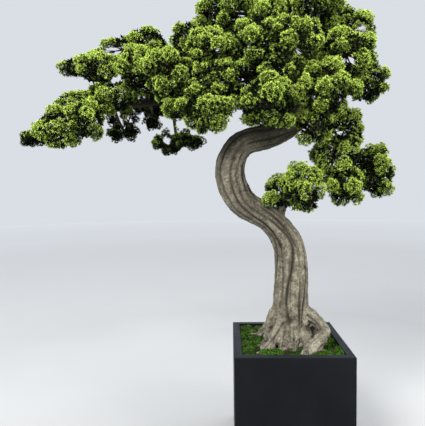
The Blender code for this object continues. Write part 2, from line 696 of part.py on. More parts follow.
def reached(mass, balls):
    """True where any of the balls comes into a mass's space."""
    apart = (balls[:, :3] - mass.centre) / (LOBE_LIMIT * np.array(mass.half) + balls[:, 3:] + CLEARANCE)
    return bool((np.linalg.norm(apart, axis=1) < 1).any())


def stem_solid(name, stem, extra=0.0):
    return add_object(name, *tube([stem[0], stem[-1]], 3, extra))


def mass_solid(mass, limbs, stems):
    """One mass of foliage as a single closed body: a dense pad, or clumps on twigs. Limbs and other
    masses' stems that reach into it are cut out of it with a gap."""
    rng = random.Random(mass_seed(mass))
    other_stems = {name: stem for name, stem in stems.items() if name != mass.name}
    thin_balls = np.vstack(list(limbs.values()) + list(other_stems.values()))
    body = stem_solid(mass.name, stems[mass.name])
    body.data.materials.append(finish("needles" if mass.dense else "needles_in_shade"))
    half, walls = np.array(mass.half), walls_of(mass)
    if mass.dense:
        space = Space(np.array(mass.centre), half, walls, thin_balls)
        count = 2 + round(surface(half) / (2 * FACE_AREA))
        parts = [add_tuft(space, lobes_of(mass), count, CORE_SHARE, rng)]
    else:
        places, twigs = grow_twigs(mass, stems[mass.name], thin_balls)
        parts = [add_object("twig", *tube(twig, 3)) for twig in twigs]
        size = np.array((1, 1, CLUMP_HEIGHT)) * CLUMP_RADIUS
        for place in places:
            beside = [(*near, 0.9 * CLUMP_RADIUS) for near in places if near is not place]
            obstacles = np.vstack([thin_balls] + beside)
            space = Space(place, size, moved(walls, place - mass.centre), obstacles)
            parts.append(add_tuft(space, (), 2 + CLUMP_FACES // 2, CLUMP_CORE, rng))
    join(body, parts)
    near_limbs = [name for name, balls in limbs.items() if name == mass.limb or reached(mass, balls)]
    near_stems = [stem for stem in other_stems.values() if reached(mass, stem)]
    cut(body, [limb_solid(name, GAP) for name in near_limbs]
        + [stem_solid("stem_cutter", stem, GAP) for stem in near_stems])
    keep_main_body(body)
    return body


def make_planter():
    """An open box with thick walls, its outer edges slightly rounded."""
    half = PLANTER_SIDE / 2
    inner = half - RIM_WIDTH
    planter = add_box("planter", (-half, -half, 0), (half, half, PLANTER_HEIGHT), "matte_black")
    rounding = planter.modifiers.new("edges", "BEVEL")
    rounding.width = PLANTER_EDGE
    rounding.segments = 2
    hollow = add_box("hollow", (-inner, -inner, PLANTER_FLOOR), (inner, inner, PLANTER_HEIGHT + 0.1))
    cut(planter, [hollow])
    return planter


def make_soil():
    """The block of soil that fills the planter up to the ground."""
    half = PLANTER_SIDE / 2 - RIM_WIDTH - GAP
    return add_box("soil", (-half, -half, PLANTER_FLOOR + GAP), (half, half, GROUND), "soil_brown")


def moss_heights(half):
    """Height of the moss over the ground at the corners of its grid, as seeded round cushions."""
    rng = random.Random(MOSS_SEED)
    cushions = []
    across = math.ceil(2 * half / MOSS_SPACING)
    for i in range(across + 1):
        for j in range(across + 1):
            x = -half + i * MOSS_SPACING + rng.uniform(-0.3, 0.3) * MOSS_SPACING
            y = -half + j * MOSS_SPACING + rng.uniform(-0.3, 0.3) * MOSS_SPACING
            cushions.append((x, y, MOSS_SPACING * rng.uniform(0.55, 0.8), MOSS_RISE * rng.uniform(0.5, 1)))
    heights = {}
    for i in range(MOSS_CELLS + 1):
        for j in range(MOSS_CELLS + 1):
            x, y = -half + 2 * half * i / MOSS_CELLS, -half + 2 * half * j / MOSS_CELLS
            rise = max(top * (1 - ((x - a) ** 2 + (y - b) ** 2) / wide ** 2) for a, b, wide, top in cushions)
            heights[i, j] = (x, y, MOSS_BED + max(0.0, rise))
    return heights


def make_moss():
    """Moss cushions over the soil, cut clear of the trunk's foot and its roots."""
    half = PLANTER_SIDE / 2 - RIM_WIDTH - GAP
    heights = moss_heights(half)
    points, index = [], {}
    for key, (x, y, rise) in heights.items():
        index[key] = len(points)
        points.append((x, y, GROUND + GAP + rise))
    cells = MOSS_CELLS
    faces = []
    for i in range(cells):
        for j in range(cells):
            a, b, c, d = index[i, j], index[i + 1, j], index[i + 1, j + 1], index[i, j + 1]
            faces += [(a, b, c), (a, c, d)]
    rim = [(i, 0) for i in range(cells)] + [(cells, j) for j in range(cells)]
    rim += [(i, cells) for i in range(cells, 0, -1)] + [(0, j) for j in range(cells, 0, -1)]
    foot = []
    for key in rim:
        foot.append(len(points))
        points.append((heights[key][0], heights[key][1], GROUND + GAP))
    for step, key in enumerate(rim):
        after = (step + 1) % len(rim)
        faces.append((foot[step], foot[after], index[rim[after]], index[key]))
    faces.append(tuple(reversed(foot)))
    moss = add_object("moss", points, faces, "moss_green")
    cut(moss, [trunk_solid("trunk_cutter", GAP)])
    keep_main_body(moss)
    return moss


def make_limbs():
    """The trunk in two lengths and its boughs, each bough cut to sit on the limb that it grows from."""
    trunk_solid("trunk")
    upper_trunk_solid("trunk_upper")
    for bough in BOUGHS:
        limb = bough_solid(bough)
        cut(limb, [limb_solid(bough.parent, GAP)])
        keep_main_body(limb)


def make_foliage():
    limbs = {name: balls_along(rows) for name, rows in limb_rows().items()}
    stems = lay_stems(limbs)
    for mass in MASSES:
        mass_solid(mass, limbs, stems)


def main():
    clear_scene()
    make_planter()
    make_soil()
    make_moss()
    make_limbs()
    make_foliage()


main()
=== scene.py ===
"""A bonsai tree in a square planter at life size, in metres, dressed round its solid frame.

The origin is the centre of the planter's flat underside, +Z is up and the front of the tree faces -Y.
The limbs, the masses of foliage and the rule that they grow by are those of the solid model. Here the
limbs get their bark, and each mass is carried on to twigs, sprays and single needles.
"""

import math
import random
from collections import namedtuple

import bmesh
import bpy
import numpy as np
from bpy.props import FloatProperty, FloatVectorProperty, IntProperty, PointerProperty
from bpy.types import Operator, Panel, PropertyGroup
from mathutils import Matrix, Vector, noise


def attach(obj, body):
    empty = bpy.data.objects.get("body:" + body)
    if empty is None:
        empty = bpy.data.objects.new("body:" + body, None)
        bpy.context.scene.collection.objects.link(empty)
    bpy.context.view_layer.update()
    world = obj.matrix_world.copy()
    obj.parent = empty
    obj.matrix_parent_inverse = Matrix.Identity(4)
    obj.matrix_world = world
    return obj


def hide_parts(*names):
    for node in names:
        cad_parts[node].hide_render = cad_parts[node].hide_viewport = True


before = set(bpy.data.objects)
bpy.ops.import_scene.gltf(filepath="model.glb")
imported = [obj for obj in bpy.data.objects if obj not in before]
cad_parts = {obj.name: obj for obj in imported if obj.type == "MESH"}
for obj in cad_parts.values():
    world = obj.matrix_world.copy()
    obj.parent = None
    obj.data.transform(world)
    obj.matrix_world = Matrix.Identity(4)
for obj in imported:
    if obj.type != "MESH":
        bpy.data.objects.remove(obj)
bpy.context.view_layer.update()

bl_info = {
    "name": "Bonsai tree in planter",
    "version": (1, 0, 0),
    "blender": (4, 5, 0),
    "location": "View3D > Sidebar > Bonsai",
    "description": "Builds a bonsai tree with bark, needles, moss and its planter",
    "category": "Add Mesh",
}

GOLDEN_TURN = math.pi * (3 - math.sqrt(5))

# Room left between two pieces that touch on the real tree
GAP = 0.0003

# A Mix node's inputs for a factor and two colours, and its output for a colour, by number
MIX_INPUTS = (0, 6, 7)
MIX_OUTPUT = 2

# Planter and ground
PLANTER_SIDE = 0.450
PLANTER_HEIGHT = 0.450
RIM_WIDTH = 0.030
PLANTER_FLOOR = 0.025
GROUND = 0.425
GROUND_HALF = PLANTER_SIDE / 2 - RIM_WIDTH - GAP
SOIL_RIPPLE = 0.001

# Moss cushions: how far apart they lie, how far each strays and how wide it is in shares of that, how high
# the highest is and the others in shares of it, how much they swell, and how high the moss between them lies
MOSS_SPACING = 0.048
MOSS_STRAY = 0.3
MOSS_RADII = (0.55, 0.8)
MOSS_RISE = 0.017
MOSS_RISES = (0.5, 1)
MOSS_SWELL = 1.25
MOSS_LOWEST = 0.0015
MOSS_SEED = 4

# Lumps on the cushions: how many go into a metre, their seed and their height
MOSS_LUMPS = ((62, 5.0, 0.0040), (210, 9.0, 0.0014))

# Tufts of moss: their number of leaves, how far these lean, how long and how wide each is and where along
# itself it is widest in shares of the tuft's size, then how far whole tufts lean and how their sizes differ
MOSS_LEAVES = 5
MOSS_LEAF_LEAN = (0.15, 0.75)
MOSS_LEAF_LENGTH = (0.75, 1.1)
MOSS_LEAF_WIDTH = 0.22
MOSS_LEAF_WIDEST = 0.45
MOSS_TUFT_LEAN = 0.35
MOSS_TUFT_SIZES = (0.7, 1.25)

# Trunk: x, y, z and radius at places along its middle line, from below the ground to the tip, and the
# place where its lower part ends
TRUNK = (
    (0.024, -0.010, 0.395, 0.086), (0.020, -0.008, 0.490, 0.078), (0.013, 0.000, 0.590, 0.071),
    (0.018, 0.015, 0.740, 0.066), (0.002, 0.018, 0.850, 0.062), (-0.070, 0.000, 0.944, 0.052),
    (-0.190, -0.025, 1.026, 0.057), (-0.234, -0.040, 1.145, 0.058), (-0.187, -0.032, 1.250, 0.051),
    (-0.070, -0.008, 1.290, 0.050), (0.035, 0.010, 1.354, 0.048), (0.074, 0.022, 1.455, 0.037),
    (0.028, 0.030, 1.565, 0.033), (-0.050, 0.022, 1.695, 0.026), (-0.074, 0.005, 1.865, 0.013),
)
TRUNK_BEND = 7

# Roots that run out from the foot and down to the ground, in rows like the trunk's. The third from the last
# is a thick gnarled one that leaves the right side and bows round to the front.
ROOTS = (
    ((0.004, -0.018, 0.570, 0.022), (-0.026, -0.040, 0.520, 0.032), (-0.064, -0.078, 0.466, 0.021),
     (-0.104, -0.114, 0.439, 0.014), (-0.142, -0.150, 0.426, 0.008)),
    ((-0.002, -0.010, 0.560, 0.022), (-0.044, -0.020, 0.500, 0.030), (-0.082, -0.030, 0.450, 0.016),
     (-0.122, -0.050, 0.427, 0.008)),
    ((-0.006, 0.012, 0.570, 0.022), (-0.050, 0.032, 0.504, 0.034), (-0.094, 0.062, 0.452, 0.020),
     (-0.152, 0.086, 0.428, 0.009)),
    ((0.008, -0.002, 0.620, 0.024), (-0.028, -0.002, 0.560, 0.042), (-0.050, 0.002, 0.500, 0.042),
     (-0.060, 0.006, 0.420, 0.034)),
    ((0.006, -0.022, 0.560, 0.022), (-0.016, -0.056, 0.492, 0.028), (-0.032, -0.082, 0.444, 0.016),
     (-0.044, -0.100, 0.415, 0.010)),
    ((0.020, -0.026, 0.560, 0.024), (0.016, -0.064, 0.490, 0.028), (0.014, -0.090, 0.440, 0.018),
     (0.014, -0.104, 0.415, 0.012)),
    ((0.030, -0.010, 0.570, 0.022), (0.050, -0.056, 0.496, 0.030), (0.090, -0.106, 0.445, 0.021),
     (0.128, -0.142, 0.431, 0.014), (0.162, -0.174, 0.425, 0.009)),
    ((0.032, 0.004, 0.570, 0.022), (0.078, 0.004, 0.515, 0.038), (0.118, 0.014, 0.465, 0.030),
     (0.170, 0.034, 0.428, 0.011)),
    ((0.030, -0.006, 0.610, 0.022), (0.078, -0.026, 0.560, 0.029), (0.122, -0.050, 0.524, 0.025),
     (0.134, -0.090, 0.498, 0.025), (0.098, -0.126, 0.474, 0.024), (0.062, -0.146, 0.444, 0.025),
     (0.048, -0.154, 0.415, 0.021)),
    ((0.026, 0.018, 0.570, 0.022), (0.042, 0.072, 0.500, 0.036), (0.052, 0.116, 0.452, 0.022),
     (0.064, 0.168, 0.428, 0.010)),
    ((0.006, 0.018, 0.560, 0.022), (-0.030, 0.070, 0.495, 0.034), (-0.070, 0.112, 0.450, 0.020),
     (-0.108, 0.156, 0.428, 0.009)),
)

# Boughs: the radius of each at its root and at its tip, and its route
Bough = namedtuple("Bough", "name root tip route")
BOUGHS = tuple(Bough(*row) for row in (
    ("bough_left_low", 0.034, 0.008,
     ((0.055, 0.016, 1.400), (-0.045, 0.028, 1.452), (-0.220, 0.022, 1.460), (-0.480, 0.002, 1.442),
      (-0.700, -0.012, 1.408), (-0.930, -0.030, 1.338))),
    ("bough_left_high", 0.026, 0.007,
     ((0.010, 0.030, 1.592), (-0.120, 0.052, 1.618), (-0.330, 0.052, 1.622), (-0.560, 0.032, 1.582),
      (-0.800, 0.030, 1.572))),
    ("bough_front_left", 0.022, 0.008,
     ((-0.120, 0.026, 1.458), (-0.190, -0.075, 1.452), (-0.290, -0.160, 1.450), (-0.400, -0.215, 1.462))),
    ("bough_front", 0.026, 0.009,
     ((0.072, 0.020, 1.440), (0.056, -0.080, 1.452), (0.020, -0.170, 1.446), (-0.020, -0.245, 1.424))),
    ("bough_front_high", 0.022, 0.008,
     ((0.020, 0.029, 1.578), (0.010, -0.070, 1.612), (-0.010, -0.160, 1.640), (-0.020, -0.250, 1.632))),
    ("bough_right_high", 0.018, 0.007,
     ((-0.045, 0.023, 1.685), (0.040, 0.012, 1.712), (0.130, 0.000, 1.712), (0.215, -0.005, 1.672))),
    ("bough_right", 0.023, 0.009,
     ((0.072, 0.021, 1.470), (0.150, 0.042, 1.492), (0.245, 0.066, 1.502))),
    ("bough_right_low", 0.014, 0.006,
     ((0.130, 0.038, 1.487), (0.172, 0.000, 1.425), (0.170, -0.030, 1.340), (0.190, -0.055, 1.278))),
    ("bough_low_right", 0.025, 0.007,
     ((-0.040, 0.006, 0.915), (-0.024, -0.014, 1.000), (-0.010, -0.032, 1.052), (0.080, -0.044, 1.092),
      (0.190, -0.036, 1.116), (0.290, -0.008, 1.150))),
    ("bough_back_left", 0.024, 0.007,
     ((0.060, 0.025, 1.505), (-0.020, 0.110, 1.540), (-0.160, 0.170, 1.580), (-0.340, 0.205, 1.612),
      (-0.450, 0.220, 1.640))),
))
LOW_BOUGH = "bough_low_right"

# How much lumpier the bark is at the foot, the height where that starts and the height it takes to grow
KNOBS = 3.6
KNOBS_TOP = 0.58
KNOBS_FADE = 0.10

# Lumps of the bark: how many go into a metre and how high they are in shares of the largest
LUMPS = ((34, 1.0), (85, 0.5), (180, 0.35))

# Furrows: how many run round the first limb of a piece and round each of the others, their width, their seed
# and how far they sway
Furrows = namedtuple("Furrows", "on_first on_others width seed sway")
MAIN_FURROWS = Furrows(13, 6, 0.0052, 40, 0.16)
FINE_FURROWS = Furrows(25, 11, 0.0032, 80, 0.10)

# All furrows: how much they turn about the limb on a metre, how far each strays from its place, over what
# lengths they sway and fade, how much they fade, how their widths differ and how steep their sides are
FURROW_TWIST = 0.9
FURROW_STRAY = 0.28
SWAY_LENGTHS = (0.35, 0.8)
FADE_LENGTHS = (0.3, 0.9)
FADE = 0.38
FURROW_WIDTHS = (0.75, 1.3)
FURROW_STEEPNESS = 1.15

# Relief: the radius of a limb that has it in full, how high a ridge is and how deep a fine furrow is in
# shares of a main furrow, how dark a fine furrow is, and how much the streaks are drawn out along the limb
THICK_LIMB = 0.055
RIDGE_HEIGHT = 0.28
FINE_DEPTH = 0.30
FINE_DARKNESS = 0.45
GRAIN_STRETCH = 0.13

# Hollows between lumps, darkened as furrows are, which is painted shade: how dark, how low they start and
# what the foot adds
HOLLOW_DARKNESS = 0.7
HOLLOW_FROM = 0.25
FOOT_HOLLOW_DARKNESS = 1.1
FOOT_HOLLOW_FROM = 0.12

# The crease at a join between limbs, which is evened out: the width over which that fades, how many widths
# off it ends, how strong each step is and how many steps there are
JOIN_WIDTH = 0.016
JOIN_REACH = 1.3
JOIN_PULL = 0.7
JOIN_STEPS = 24

# How finely a limb's route is divided: the solids' trunk and boughs, then the mesh of trunk, roots and boughs
TRUNK_STEPS = 2
BOUGH_STEPS = 2
TRUNK_BARK_STEPS = 14
ROOT_BARK_STEPS = 12
BOUGH_BARK_STEPS = 14

# Sides of the trunk and of any other limb before it is carved, how often the trunk's skin is softened, and
# the height of the largest lumps on the trunk and on a bough
TRUNK_SIDES = 48
LIMB_SIDES = 14
SOFTEN_STEPS = 7
TRUNK_LUMPS = 0.0024
BOUGH_LUMPS = 0.0016

# Masses of foliage: the limb that carries each, and the middle and the half-sizes of the egg-shaped space
# that it keeps to. A mass is a dense pad, or one of the open tufts in the shade.
Mass = namedtuple("Mass", "name limb centre half")
MASSES = tuple(Mass(*row) for row in (
    ("left_tip", "bough_left_low", (-1.023, -0.020, 1.295), (0.084, 0.070, 0.058)),
    ("left_front_pad", "bough_left_low", (-0.891, -0.120, 1.317), (0.111, 0.085, 0.089)),
    ("left_second_pad", "bough_left_low", (-0.777, -0.150, 1.345), (0.078, 0.085, 0.086)),
    ("left_shelf", "bough_left_low", (-0.851, 0.040, 1.441), (0.135, 0.082, 0.055)),
    ("left_mid_pad", "bough_left_low", (-0.698, -0.050, 1.448), (0.114, 0.085, 0.088)),
    ("left_hanging", "bough_left_low", (-0.688, 0.090, 1.358), (0.104, 0.072, 0.093)),
    ("upper_tip", "bough_left_high", (-0.865, 0.050, 1.593), (0.091, 0.076, 0.036)),
    ("upper_front", "bough_left_high", (-0.742, -0.070, 1.556), (0.107, 0.078, 0.067)),
    ("upper_back", "bough_left_high", (-0.696, 0.130, 1.688), (0.109, 0.082, 0.057)),
    ("crest_end", "bough_left_high", (-0.587, 0.100, 1.703), (0.099, 0.082, 0.069)),
    ("shoulder_left", "bough_left_high", (-0.586, -0.120, 1.536), (0.084, 0.090, 0.088)),
    ("shoulder_front", "bough_front_left", (-0.455, -0.210, 1.493), (0.109, 0.100, 0.098)),
    ("shoulder_low", "bough_left_low", (-0.565, -0.030, 1.463), (0.077, 0.072, 0.061)),
    ("shoulder_under", "bough_left_low", (-0.558, 0.100, 1.422), (0.113, 0.080, 0.100)),
    ("low_left_pad", "bough_left_low", (-0.414, -0.165, 1.404), (0.101, 0.095, 0.078)),
    ("low_front_pad", "bough_front_left", (-0.310, -0.245, 1.369), (0.114, 0.100, 0.096)),
    ("low_hanging", "bough_left_low", (-0.454, 0.060, 1.279), (0.125, 0.075, 0.074)),
    ("crown_left_edge", "bough_left_high", (-0.391, -0.050, 1.668), (0.083, 0.088, 0.067)),
    ("crown_left", "bough_left_high", (-0.295, -0.195, 1.583), (0.109, 0.100, 0.080)),
    ("crown_left_low", "bough_front_left", (-0.289, -0.215, 1.460), (0.123, 0.100, 0.090)),
    ("crown_centre", "bough_front_high", (-0.169, -0.205, 1.471), (0.098, 0.100, 0.094)),
    ("crown_upper", "bough_front_high", (-0.138, -0.240, 1.587), (0.106, 0.100, 0.092)),
    ("crown_top_front", "trunk_upper", (-0.086, -0.140, 1.719), (0.075, 0.090, 0.075)),
    ("front_upper", "bough_front_high", (-0.003, -0.275, 1.593), (0.100, 0.100, 0.086)),
    ("top_left", "trunk_upper", (-0.248, -0.050, 1.768), (0.126, 0.120, 0.126)),
    ("front_big", "bough_front", (-0.104, -0.275, 1.373), (0.118, 0.105, 0.104)),
    ("front_mid", "bough_front", (-0.052, -0.250, 1.509), (0.109, 0.100, 0.084)),
    ("right_front", "bough_front", (0.098, -0.250, 1.416), (0.119, 0.105, 0.109)),
    ("right_shelf", "bough_right_high", (0.192, -0.180, 1.559), (0.120, 0.105, 0.087)),
    ("right_low_edge", "bough_right", (0.337, 0.060, 1.511), (0.090, 0.096, 0.094)),
    ("right_top", "bough_right_high", (0.250, 0.020, 1.698), (0.122, 0.098, 0.101)),
    ("right_drop", "bough_right_low", (0.178, -0.090, 1.200), (0.111, 0.085, 0.109)),
    ("right_inner_low", "bough_right_low", (0.076, -0.185, 1.311), (0.077, 0.088, 0.081)),
    ("right_outer_low", "bough_right_low", (0.218, -0.060, 1.304), (0.090, 0.086, 0.091)),
    ("low_branch_left", "bough_low_right", (-0.026, -0.080, 1.056), (0.085, 0.080, 0.072)),
    ("low_branch_front", "bough_low_right", (0.039, -0.160, 1.071), (0.086, 0.082, 0.107)),
    ("low_branch_mid", "bough_low_right", (0.207, -0.100, 1.088), (0.083, 0.078, 0.089)),
    ("low_branch_tip", "bough_low_right", (0.357, 0.030, 1.141), (0.099, 0.093, 0.114)),
    ("top_peak", "trunk_upper", (-0.074, -0.020, 1.922), (0.131, 0.125, 0.107)),
    ("top_right", "bough_right_high", (0.105, -0.070, 1.793), (0.120, 0.120, 0.137)),
    ("back_left", "bough_back_left", (-0.550, 0.250, 1.655), (0.130, 0.098, 0.111)),
    ("back_centre", "bough_back_left", (-0.318, 0.260, 1.699), (0.144, 0.100, 0.125)),
    ("back_right", "trunk_upper", (0.149, 0.250, 1.650), (0.165, 0.100, 0.147)),
    ("back_low", "trunk_upper", (-0.081, 0.240, 1.466), (0.115, 0.096, 0.097)),
    ("back_top", "trunk_upper", (-0.045, 0.210, 1.907), (0.157, 0.105, 0.134)),
))
OPEN_MASSES = ("left_tip", "left_hanging", "shoulder_under", "low_hanging")

# Pieces of foliage: the masses that each one stands for
FOLIAGE = {
    "needles_left_end": ("left_front_pad", "left_second_pad", "left_shelf", "left_mid_pad",
                         "low_left_pad", "low_front_pad"),
    "needles_upper_left": ("upper_tip", "upper_front", "upper_back", "crest_end", "shoulder_left",
                           "shoulder_front", "shoulder_low", "crown_left_edge"),
    "needles_crown_front": ("crown_left", "crown_left_low", "crown_centre", "crown_upper", "front_upper"),
    "needles_front": ("front_big", "front_mid", "right_front"),
    "needles_right": ("right_shelf", "right_low_edge", "right_top", "right_inner_low",
                      "right_outer_low", "right_drop"),
    "needles_low_branch": ("low_branch_left", "low_branch_front", "low_branch_mid", "low_branch_tip"),
    "needles_top": ("top_left", "top_peak", "top_right", "crown_top_front"),
    "needles_back_left": ("back_left", "back_centre", "back_low"),
    "needles_back_right": ("back_right", "back_top"),
    "needles_hanging": OPEN_MASSES,
}

# The rule that a mass grows by, as in the solid model: the first mass's seed, and half the gap between spaces
FIRST_SEED = 100
SPACE_GAP = 0.0006

# Lobes of a dense mass: the surface that each stands for, how far out it reaches in shares of the half-sizes,
# the furthest point of the mass in such shares, the lobe's radius and the largest one in shares of the mass,
# the lowest direction it lies in, the tries for each, and the radius of the body inside them
LOBE_AREA = 0.0085
LOBE_REACH = (0.84, 1.12)
LOBE_LIMIT = 1.07
LOBE_RADIUS = (0.030, 0.048)
LARGEST_LOBE = 0.54
LOBE_LOWEST = -0.90
LOBE_TRIES = 12
BODY_SHARE = 0.64

# Clumps of an open mass: their radius and half-sizes, their core in shares of those, how many there are, the
# tries for each and the least distance between two
CLUMP_RADIUS = 0.046
CLUMP_HALF = CLUMP_RADIUS * np.array((1, 1, 0.82))
CLUMP_CORE = 0.56
CLUMPS = 7
CLUMP_TRIES = 90
CLUMP_APART = 0.9 * CLUMP_RADIUS

# Stems and forks: how far an open mass's stem ends below the middle in shares of its half-height, how much a
# fork shuns a long way back to the stem, a stem's radius at its limb and at its end, the share of the limb's
# radius that it is buried in, a fork's radius in shares of the wood it leaves, and the radius of its tip
HUB_DROP = 0.35
FORK_BIAS = 0.5
STEM_RADIUS = 0.0075
HUB_RADIUS = 0.0055
STEM_BURIED = 0.7
FORK_RADIUS = 0.85
TWIG_TIP_RADIUS = 0.0030

# Room between stems, forks and limbs, and the distance between two of the balls that stand for them
CLEARANCE = 0.0015
BALL_STEP = 0.006

# The shells that carry the sprays of a dense mass: how slim each is in shares of its lobe, and the radii of
# the cores inside a lobe's shell and inside the whole mass, whose needles are painted in the darkest shade.
# The outer coat stands a little off its shell, so its inset, in lengths of a needle, is below zero.
SHELL_SLIMNESS = 0.82
SHELL_CORE = 0.50
INNER_SHARE = 0.73
SPRAY_INSET = -0.1

# Share of its square that a spray takes up when sprays are spread evenly, and how uneven they are
PACKING = 0.87
UNEVEN = 0.22

# Room that the sprays keep from wood and from the walls between masses, and the least share of its reach that
# a spray beyond a wall keeps when it moves back to the wall
WOOD_ROOM = 0.010
WALL_ROOM = 0.003
WALL_NEAREST = 0.35

# The outer and the inner coat: the part kept of the sprays beyond a wall, and the room round the sky gaps
Coat = namedtuple("Coat", "kept room")
OUTER_COAT = Coat(0.35, 0.006)
INNER_COAT = Coat(1.0, 0.012)

# The inner coat, whose needles are all in the darkest painted shade: the distance between its sprays, and how
# large and how broad its needles are
INNER_SPACING = 0.023
INNER_SIZE = 1.8
INNER_BREADTH = 1.9

# An open mass: how much darker it is painted, as it hangs in the shade, how large its inner needles are, how
# far apart its outer and inner sprays are in shares of a dense one's, and the parts that each of its clumps
# has: how many, and how far out and how large each is in shares of the clump
OPEN_SHADE = 0.44
OPEN_INNER_SIZE = 1.2
OPEN_SPACING = 1.1
OPEN_INNER_SPACING = 0.6
CLUMP_PARTS = 6
PART_REACH = 0.52
PART_RADIUS = 0.46

# Small tufts that a mass's surface gathers into: the distance between two, their edge in shares of it, how
# deep the folds between them are, how much lower some tufts lie, how far the sprays fan out, how uneven the
# tufts' tones are, and how dark the painted shade is in their folds and on the lower tufts
TUFT_SPACING = 0.031
TUFT_EDGE = 0.60
TUFT_DEPTH = 0.013
TUFT_UNEVEN = 0.015
TUFT_FAN = 1.15
TUFT_SPREAD = 0.10
TUFT_SHADE = 0.42

# Needles: how far they tilt out of a spray and how unevenly, how much the spray turns up, how the sizes of
# sprays and of their needles differ, where along itself a needle starts and is widest, and its fold in widths
SPRAY_TILT = 1.25
TILT_SPREAD = 0.12
UPTURN = 0.30
SPRAY_SIZES = (0.84, 1.16)
NEEDLE_SIZES = (0.78, 1.12)
NEEDLE_START = 0.16
NEEDLE_WIDEST = 0.42
NEEDLE_FOLD = 0.3

# Tones: how many there are, how much darker a needle is at its base as painted shade, the share of a spray's
# needles in its lighter middle, and how often a needle is so many tones darker than its spray
TONES = 6
BASE_DARKER = 3
LIGHTER_MIDDLE = 0.36
TONE_STEPS = {-1: 0.14, 0: 0.50, 1: 0.24, 2: 0.12}

# How light a spray is painted: what all have, the painted light that comes with facing up, with a high place
# in its mass and with one further out than the given share, with painted shade on sprays further in, and how
# much masses, lobes and sprays differ by chance
LIGHT = 0.98
LIGHT_UP = 0.34
LIGHT_HIGH = 0.16
LIGHT_OUT = 0.45
LIGHT_OUT_FROM = 0.75
MASS_SPREAD = 0.03
LOBE_SPREAD = 0.08
SPRAY_SPREAD = 0.12

# Painted shade: how much darker a spray is between two lobes and beside another mass, and how far off that
# painted shade shows
CREVICE_SHADE = 0.40
CREVICE_WIDTH = 0.011
WALL_SHADE = 0.14
WALL_WIDTH = 0.012

# How much lighter than the rest the needles of some masses are, where more light falls on them, or darker
LIGHTER = {
    "left_front_pad": 0.10, "left_second_pad": 0.10, "left_shelf": 0.08, "upper_tip": 0.10,
    "upper_front": 0.15, "upper_back": 0.10, "shoulder_left": 0.12, "shoulder_front": 0.10,
    "crown_left_edge": 0.06, "crown_left": 0.04, "top_left": 0.04, "top_right": -0.08, "right_top": -0.08,
    "right_shelf": -0.10, "right_low_edge": -0.08, "right_inner_low": 0.28, "right_outer_low": 0.30,
    "right_drop": 0.32, "low_branch_left": 0.06, "low_branch_front": 0.10, "low_branch_mid": 0.10,
}

# Twigs: how far one bows in shares of its length, the radii of a lobe's twig, and the thickness of the shoot
# that one spray in so many has down to its hub
TWIG_BOW = 0.05
LOBE_TWIG_ROOT = 0.8 * HUB_RADIUS
LOBE_TWIG_TIP = 0.0026
SHOOT_RADIUS = 0.0014
SHOOT_EVERY = 4

# How far from a mass its needles still heed wood, and what the faces of one piece stay under
NEAR_WOOD = 0.02
MOST_FACES = 200000

# Height over which the trunk's colour changes, from pale blotches at the foot to the painted shade of the
# crown, and the colour of wood where its bark is worn
BARK_HEIGHT = 2.0
PALE_WOOD = (0.38, 0.355, 0.27)

# The floor, which is paler towards its edge, where it meets the air
FLOOR_RADIUS = 14.0
FLOOR_SIDES = 96

# The lights: the point that all face, and the place, the size and the colour of each
LIGHT_TARGET = (-0.1, 0.0, 1.15)
LIGHTS = {
    "key": ((-2.4, -3.0, 3.9), 2.2, (1.0, 0.985, 0.96)),
    "fill": ((3.0, -2.2, 1.9), 2.6, (1.0, 0.96, 0.92)),
    "top": ((0.2, 0.4, 4.6), 3.0, (0.97, 0.985, 1.0)),
}

# Small gaps that the sky shows through, seen from the camera's place: each one's place across and up at the
# middle of the crown, and its half-width
SKY_GAPS = (
    (-0.180, 1.779, 0.010), (0.298, 1.706, 0.010), (-0.719, 1.642, 0.012), (-0.696, 1.643, 0.014),
    (-0.673, 1.645, 0.012), (0.048, 1.624, 0.012), (-0.280, 1.633, 0.010), (0.008, 1.618, 0.009),
    (0.235, 1.597, 0.015), (0.257, 1.585, 0.015), (-0.703, 1.526, 0.009), (-0.682, 1.527, 0.009),
    (0.252, 1.434, 0.012), (-0.578, 1.430, 0.010), (-0.558, 1.432, 0.010), (-0.187, 1.383, 0.010),
    (-0.694, 1.386, 0.010), (-0.648, 1.366, 0.013), (-0.682, 1.359, 0.010), (-0.672, 1.331, 0.012),
    (-0.468, 1.311, 0.011), (0.202, 1.297, 0.012), (-0.491, 1.273, 0.012),
)

# The view: where the camera stands, its turns in degrees, and its lens and sensor in millimetres
CAMERA_PLACE = (-0.244, -1.869, 1.075)
CAMERA_DOWN = 3.06
CAMERA_LEFT = 1.93
CAMERA_ROLL = -0.70
CAMERA_LENS = 38.206
CAMERA_SENSOR = 36.0


# Settings


def colour(name, description, value):
    return FloatVectorProperty(name=name, description=description, default=value, subtype="COLOR",
                               size=3, min=0.0, max=1.0)


def length(name, description, value):
    return FloatProperty(name=name, description=description, default=value, min=0.0, unit="LENGTH")


def power(name, description, value):
    return FloatProperty(name=name, description=description, default=value, min=0.0, unit="POWER")


class PlanterSettings(PropertyGroup):
    edge: length("Edge", "Radius of the planter's outer edges", 0.0035)
    inner_edge: length("Inner edge", "Radius of the rim's inner edge", 0.0015)
    coat: colour("Coat", "Colour of the planter's coat", (0.0016, 0.0022, 0.0033))
    dust: colour("Dust", "Colour of the coat where it is dusty or rubbed", (0.012, 0.0145, 0.018))


class GroundSettings(PropertyGroup):
    cells: IntProperty(name="Cells", description="Cells across the moss and the soil", default=84, min=8)
    tuft: length("Tuft", "Length of the moss's leaves", 0.006)
    density: FloatProperty(name="Density", description="Moss tufts on a square metre", default=42000, min=0)
    soil: colour("Soil", "Colour of the soil", (0.030, 0.021, 0.014))
    moss: colour("Moss", "Colour of the moss cushions", (0.007, 0.026, 0.0017))
    young_moss: colour("Young moss", "Colour of the moss's tips", (0.064, 0.158, 0.011))


